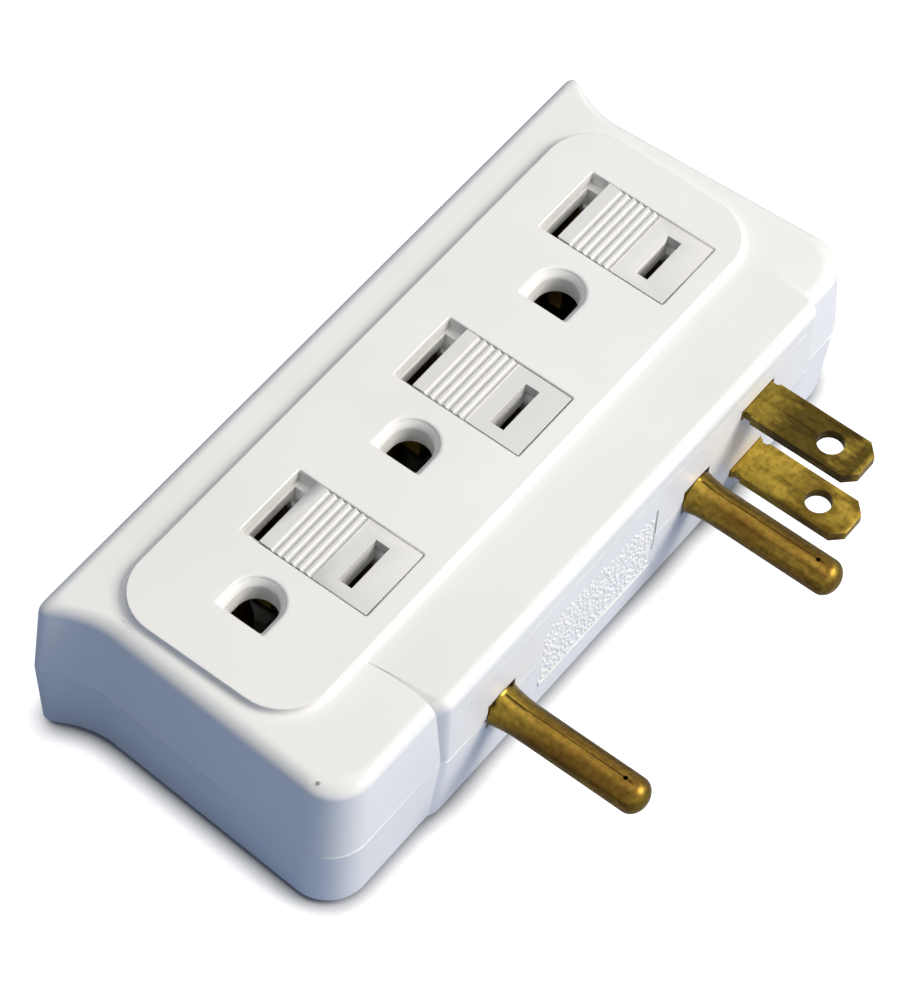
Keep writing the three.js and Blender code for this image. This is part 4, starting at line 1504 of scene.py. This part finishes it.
@dataclass
class ScrewSet:
    """The four pan-head screws in the back, as one mesh on the housing."""

    NODES = ("screw_upper_wall", "screw_upper_room", "screw_lower_wall", "screw_lower_room")

    finish: Material
    head: float = 5.2
    head_height: float = 1.9
    flat_share: float = 0.3
    crown_share: float = 0.6
    shank: float = 2.7
    point_radius: float = 0.3
    point_length: float = 2.0
    recess_reach: float = 1.5
    recess_width: float = 0.45
    recess_depth: float = 1.1
    segments: int = 40
    seed: int = 4

    def one(self, length: float) -> Piece:
        """One screw standing on its head at the origin.

        Args:
            length: Its whole length.

        Returns:
            The solid.
        """
        flat, crown = self.flat_share, self.head_height * self.crown_share
        radius, shank = self.head / 2, self.shank / 2
        profile = [(radius * (flat + (1 - flat) * sine), crown * (1 - cosine)) for sine, cosine in quarter(8)]
        profile += [(radius, self.head_height), (shank, self.head_height)]
        profile += [(shank, length - self.point_length), (self.point_radius, length)]
        body = loft("screw", [(circle(0, 0, reach, self.segments), height) for reach, height in profile])
        long, short = self.recess_reach, self.recess_width / 2
        for x, y in ((long, short), (short, long)):
            combine(body, Cut.REMOVE, [block("arm", (-x, -y, -CLEAR), (x, y, self.recess_depth))])
        return body

    def build(self) -> None:
        """Makes and dresses the set."""
        boxes = [Box.of(node) for node in self.NODES]
        xs, ys = [box.middle.x for box in boxes], [box.middle.y for box in boxes]
        low = boxes[0].low.z
        screw = self.one(boxes[0].high.z - low)
        run_tree(screw, corner_tree(), {
            "Spacing X": (max(xs) - min(xs)) * MM,
            "Spacing Y": (max(ys) - min(ys)) * MM,
            "Centre": ((max(xs) + min(xs)) / 2 * MM, (max(ys) + min(ys)) / 2 * MM, low * MM),
            "Seed": self.seed,
            "Material": self.finish,
        })
        screw.name = "back_screws"
        smooth(screw, angle=40)
        dress(screw, self.finish, "housing", self.NODES)


@dataclass
class Conductors:
    """Contacts and buses inside the housing, which keep their own solids and get their metal."""

    finish: Material

    def build(self) -> None:
        """Dresses every inner conductor."""
        for name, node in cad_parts.items():
            if name.endswith("_bus") or "_contact_" in name:
                node.data.materials.clear()
                node.data.materials.append(self.finish)
                log.info("%s: dressed", name)


# Studio


@dataclass(frozen=True)
class Lamp:
    """Soft square lamp: where it stands, where it points, its width, its power in watts and its colour."""

    name: str
    place: tuple[float, float, float]
    target: tuple[float, float, float]
    size: float
    power: float
    hue: str

    def build(self) -> None:
        """Makes the lamp."""
        data = bpy.data.lights.new(self.name, "AREA")
        data.size = self.size * MM
        data.energy = self.power
        data.color = linear(self.hue)[:3]
        lamp = bpy.data.objects.new(self.name, data)
        bpy.context.scene.collection.objects.link(lamp)
        start, end = Vector(self.place) * MM, Vector(self.target) * MM
        lamp.location = start
        lamp.rotation_euler = (end - start).to_track_quat("-Z", "Y").to_euler()


@dataclass
class Studio:
    """Pale floor, soft lamps and the camera."""

    floor_size: float = 3000.0
    floor_thickness: float = 6.0
    floor_colour: str = "#94afde"
    shown_colour: str = "#a6a6a6"
    floor_glow: float = 0.92
    floor_gloss: float = 0.03
    contact_reach: float = 3.0
    contact_dark: float = 0.4
    sky_colour: str = "#909cb1"
    sky_strength: float = 0.5
    camera_place: tuple[float, float, float] = (151.43, -242.41, 442.22)
    camera_forward: tuple[float, float, float] = (-0.3101, 0.4646, -0.8295)
    camera_right: tuple[float, float, float] = (0.7903, 0.6110, 0.0467)
    focal_pixels: float = 4282.94
    long_side: int = 1000
    sensor_width: float = 36.0
    lamps: tuple[Lamp, ...] = (
        Lamp("key", (557, 294, 516), (-10, 0, 10), 420, 6.65, "#fffaf2"),
        Lamp("top", (-120, 60, 780), (-10, 0, 10), 600, 1.85, "#fffdf8"),
        Lamp("side", (900, 40, 240), (12, 0, 12), 700, 1.1, "#ffffff"),
    )

    def see_through(self, tree: Tree) -> Node:
        """Whether a ray comes from the camera, a gloss or a glass.

        Args:
            tree: The material's or world's tree.

        Returns:
            The node whose value is 1 for such a ray, else 0.
        """
        seen = path = add_node(tree, "ShaderNodeLightPath")
        for ray in ("Is Glossy Ray", "Is Transmission Ray"):
            seen = add_node(tree, "ShaderNodeMath", {0: seen, 1: path.outputs[ray]}, operation="MAXIMUM")
        return seen

    def floor(self) -> None:
        """White floor that keeps a tight shadow where the object meets it, and throws little light back."""
        half = self.floor_size / 2
        floor = block("floor", (-half, -half, -self.floor_thickness), (half, half, 0))
        material, tree = new_material("matt_paper_sweep")
        near = add_node(tree, "ShaderNodeAmbientOcclusion", {"Distance": self.contact_reach * MM}, samples=16)
        contact = add_node(tree, "ShaderNodeMapRange", {0: near.outputs["AO"], 1: self.contact_dark})
        gloss = add_node(tree, "ShaderNodeLightPath").outputs["Is Glossy Ray"]
        shown = add_node(tree, "ShaderNodeMapRange", {0: gloss, 3: self.floor_glow, 4: self.floor_gloss})
        seen = self.see_through(tree)
        for share in (contact, seen):
            shown = add_node(tree, "ShaderNodeMath", {0: share, 1: shown}, operation="MULTIPLY")
        light = add_node(tree, "ShaderNodeEmission", {"Color": (1, 1, 1, 1), "Strength": shown})
        colours = {0: seen, 6: linear(self.floor_colour), 7: linear(self.shown_colour)}
        paper = add_node(tree, "ShaderNodeMix", colours, data_type="RGBA").outputs[2]
        matt = add_node(tree, "ShaderNodeBsdfDiffuse", {"Color": paper})
        both = add_node(tree, "ShaderNodeAddShader", {0: light, 1: matt})
        add_node(tree, "ShaderNodeOutputMaterial", {"Surface": both})
        floor.data.materials.append(material)

    def sky(self) -> None:
        """Even cool sky that fills the shaded side, and shows white in reflections."""
        world = bpy.data.worlds.new("studio_sky")
        bpy.context.scene.world = world
        world.use_nodes = True
        tree = world.node_tree
        tree.nodes.clear()
        colours = {"Color": linear(self.sky_colour), "Strength": self.sky_strength}
        cool = add_node(tree, "ShaderNodeBackground", colours)
        white = add_node(tree, "ShaderNodeBackground", {"Color": (1, 1, 1, 1), "Strength": 1.0})
        mixed = add_node(tree, "ShaderNodeMixShader", {0: self.see_through(tree), 1: cool, 2: white})
        add_node(tree, "ShaderNodeOutputWorld", {"Surface": mixed})

    def camera(self) -> None:
        """Camera at the photograph's viewing angle, found from the outlets' standard spacings."""
        forward = Vector(self.camera_forward).normalized()
        right = Vector(self.camera_right)
        right = (right - right.dot(forward) * forward).normalized()
        data = bpy.data.cameras.new("camera")
        data.sensor_width = self.sensor_width
        data.lens = self.focal_pixels / self.long_side * self.sensor_width
        data.clip_start, data.clip_end = 0.01, 10.0
        camera = bpy.data.objects.new("camera", data)
        bpy.context.scene.collection.objects.link(camera)
        turn = Matrix((right, right.cross(forward), -forward)).transposed().to_4x4()
        camera.matrix_world = Matrix.Translation(Vector(self.camera_place) * MM) @ turn
        bpy.context.scene.camera = camera

    def build(self) -> None:
        """Makes the whole studio."""
        bpy.context.scene.view_settings.view_transform = "Standard"
        self.camera()
        self.floor()
        self.sky()
        for lamp in self.lamps:
            lamp.build()


def main() -> None:
    """Builds the tap's pieces in order, then the studio."""
    logging.basicConfig(level=logging.INFO, format="%(name)s %(message)s")
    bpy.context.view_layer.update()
    finishes = Finishes.build()
    front, back = (Housing(finishes.housing, half) for half in Half)
    outlets = [Outlet(place, front) for place in Place]
    Shell(front, outlets).build()
    Shell(back).build()
    grooves = groove_tree()
    slot_x = outlets[0].line_x + SLOT_PITCH / 2
    for place in Place:
        Shutter(place, finishes.shutter, grooves, slot_x).build()
    Nameplate(finishes.housing, front).build()
    DustGrain(finishes.dust).build()
    Prongs(finishes).build(front.face_x)
    ScrewSet(finishes.steel).build()
    Conductors(finishes.contact).build()
    Studio().build()


if __name__ == "__main__":
    main()
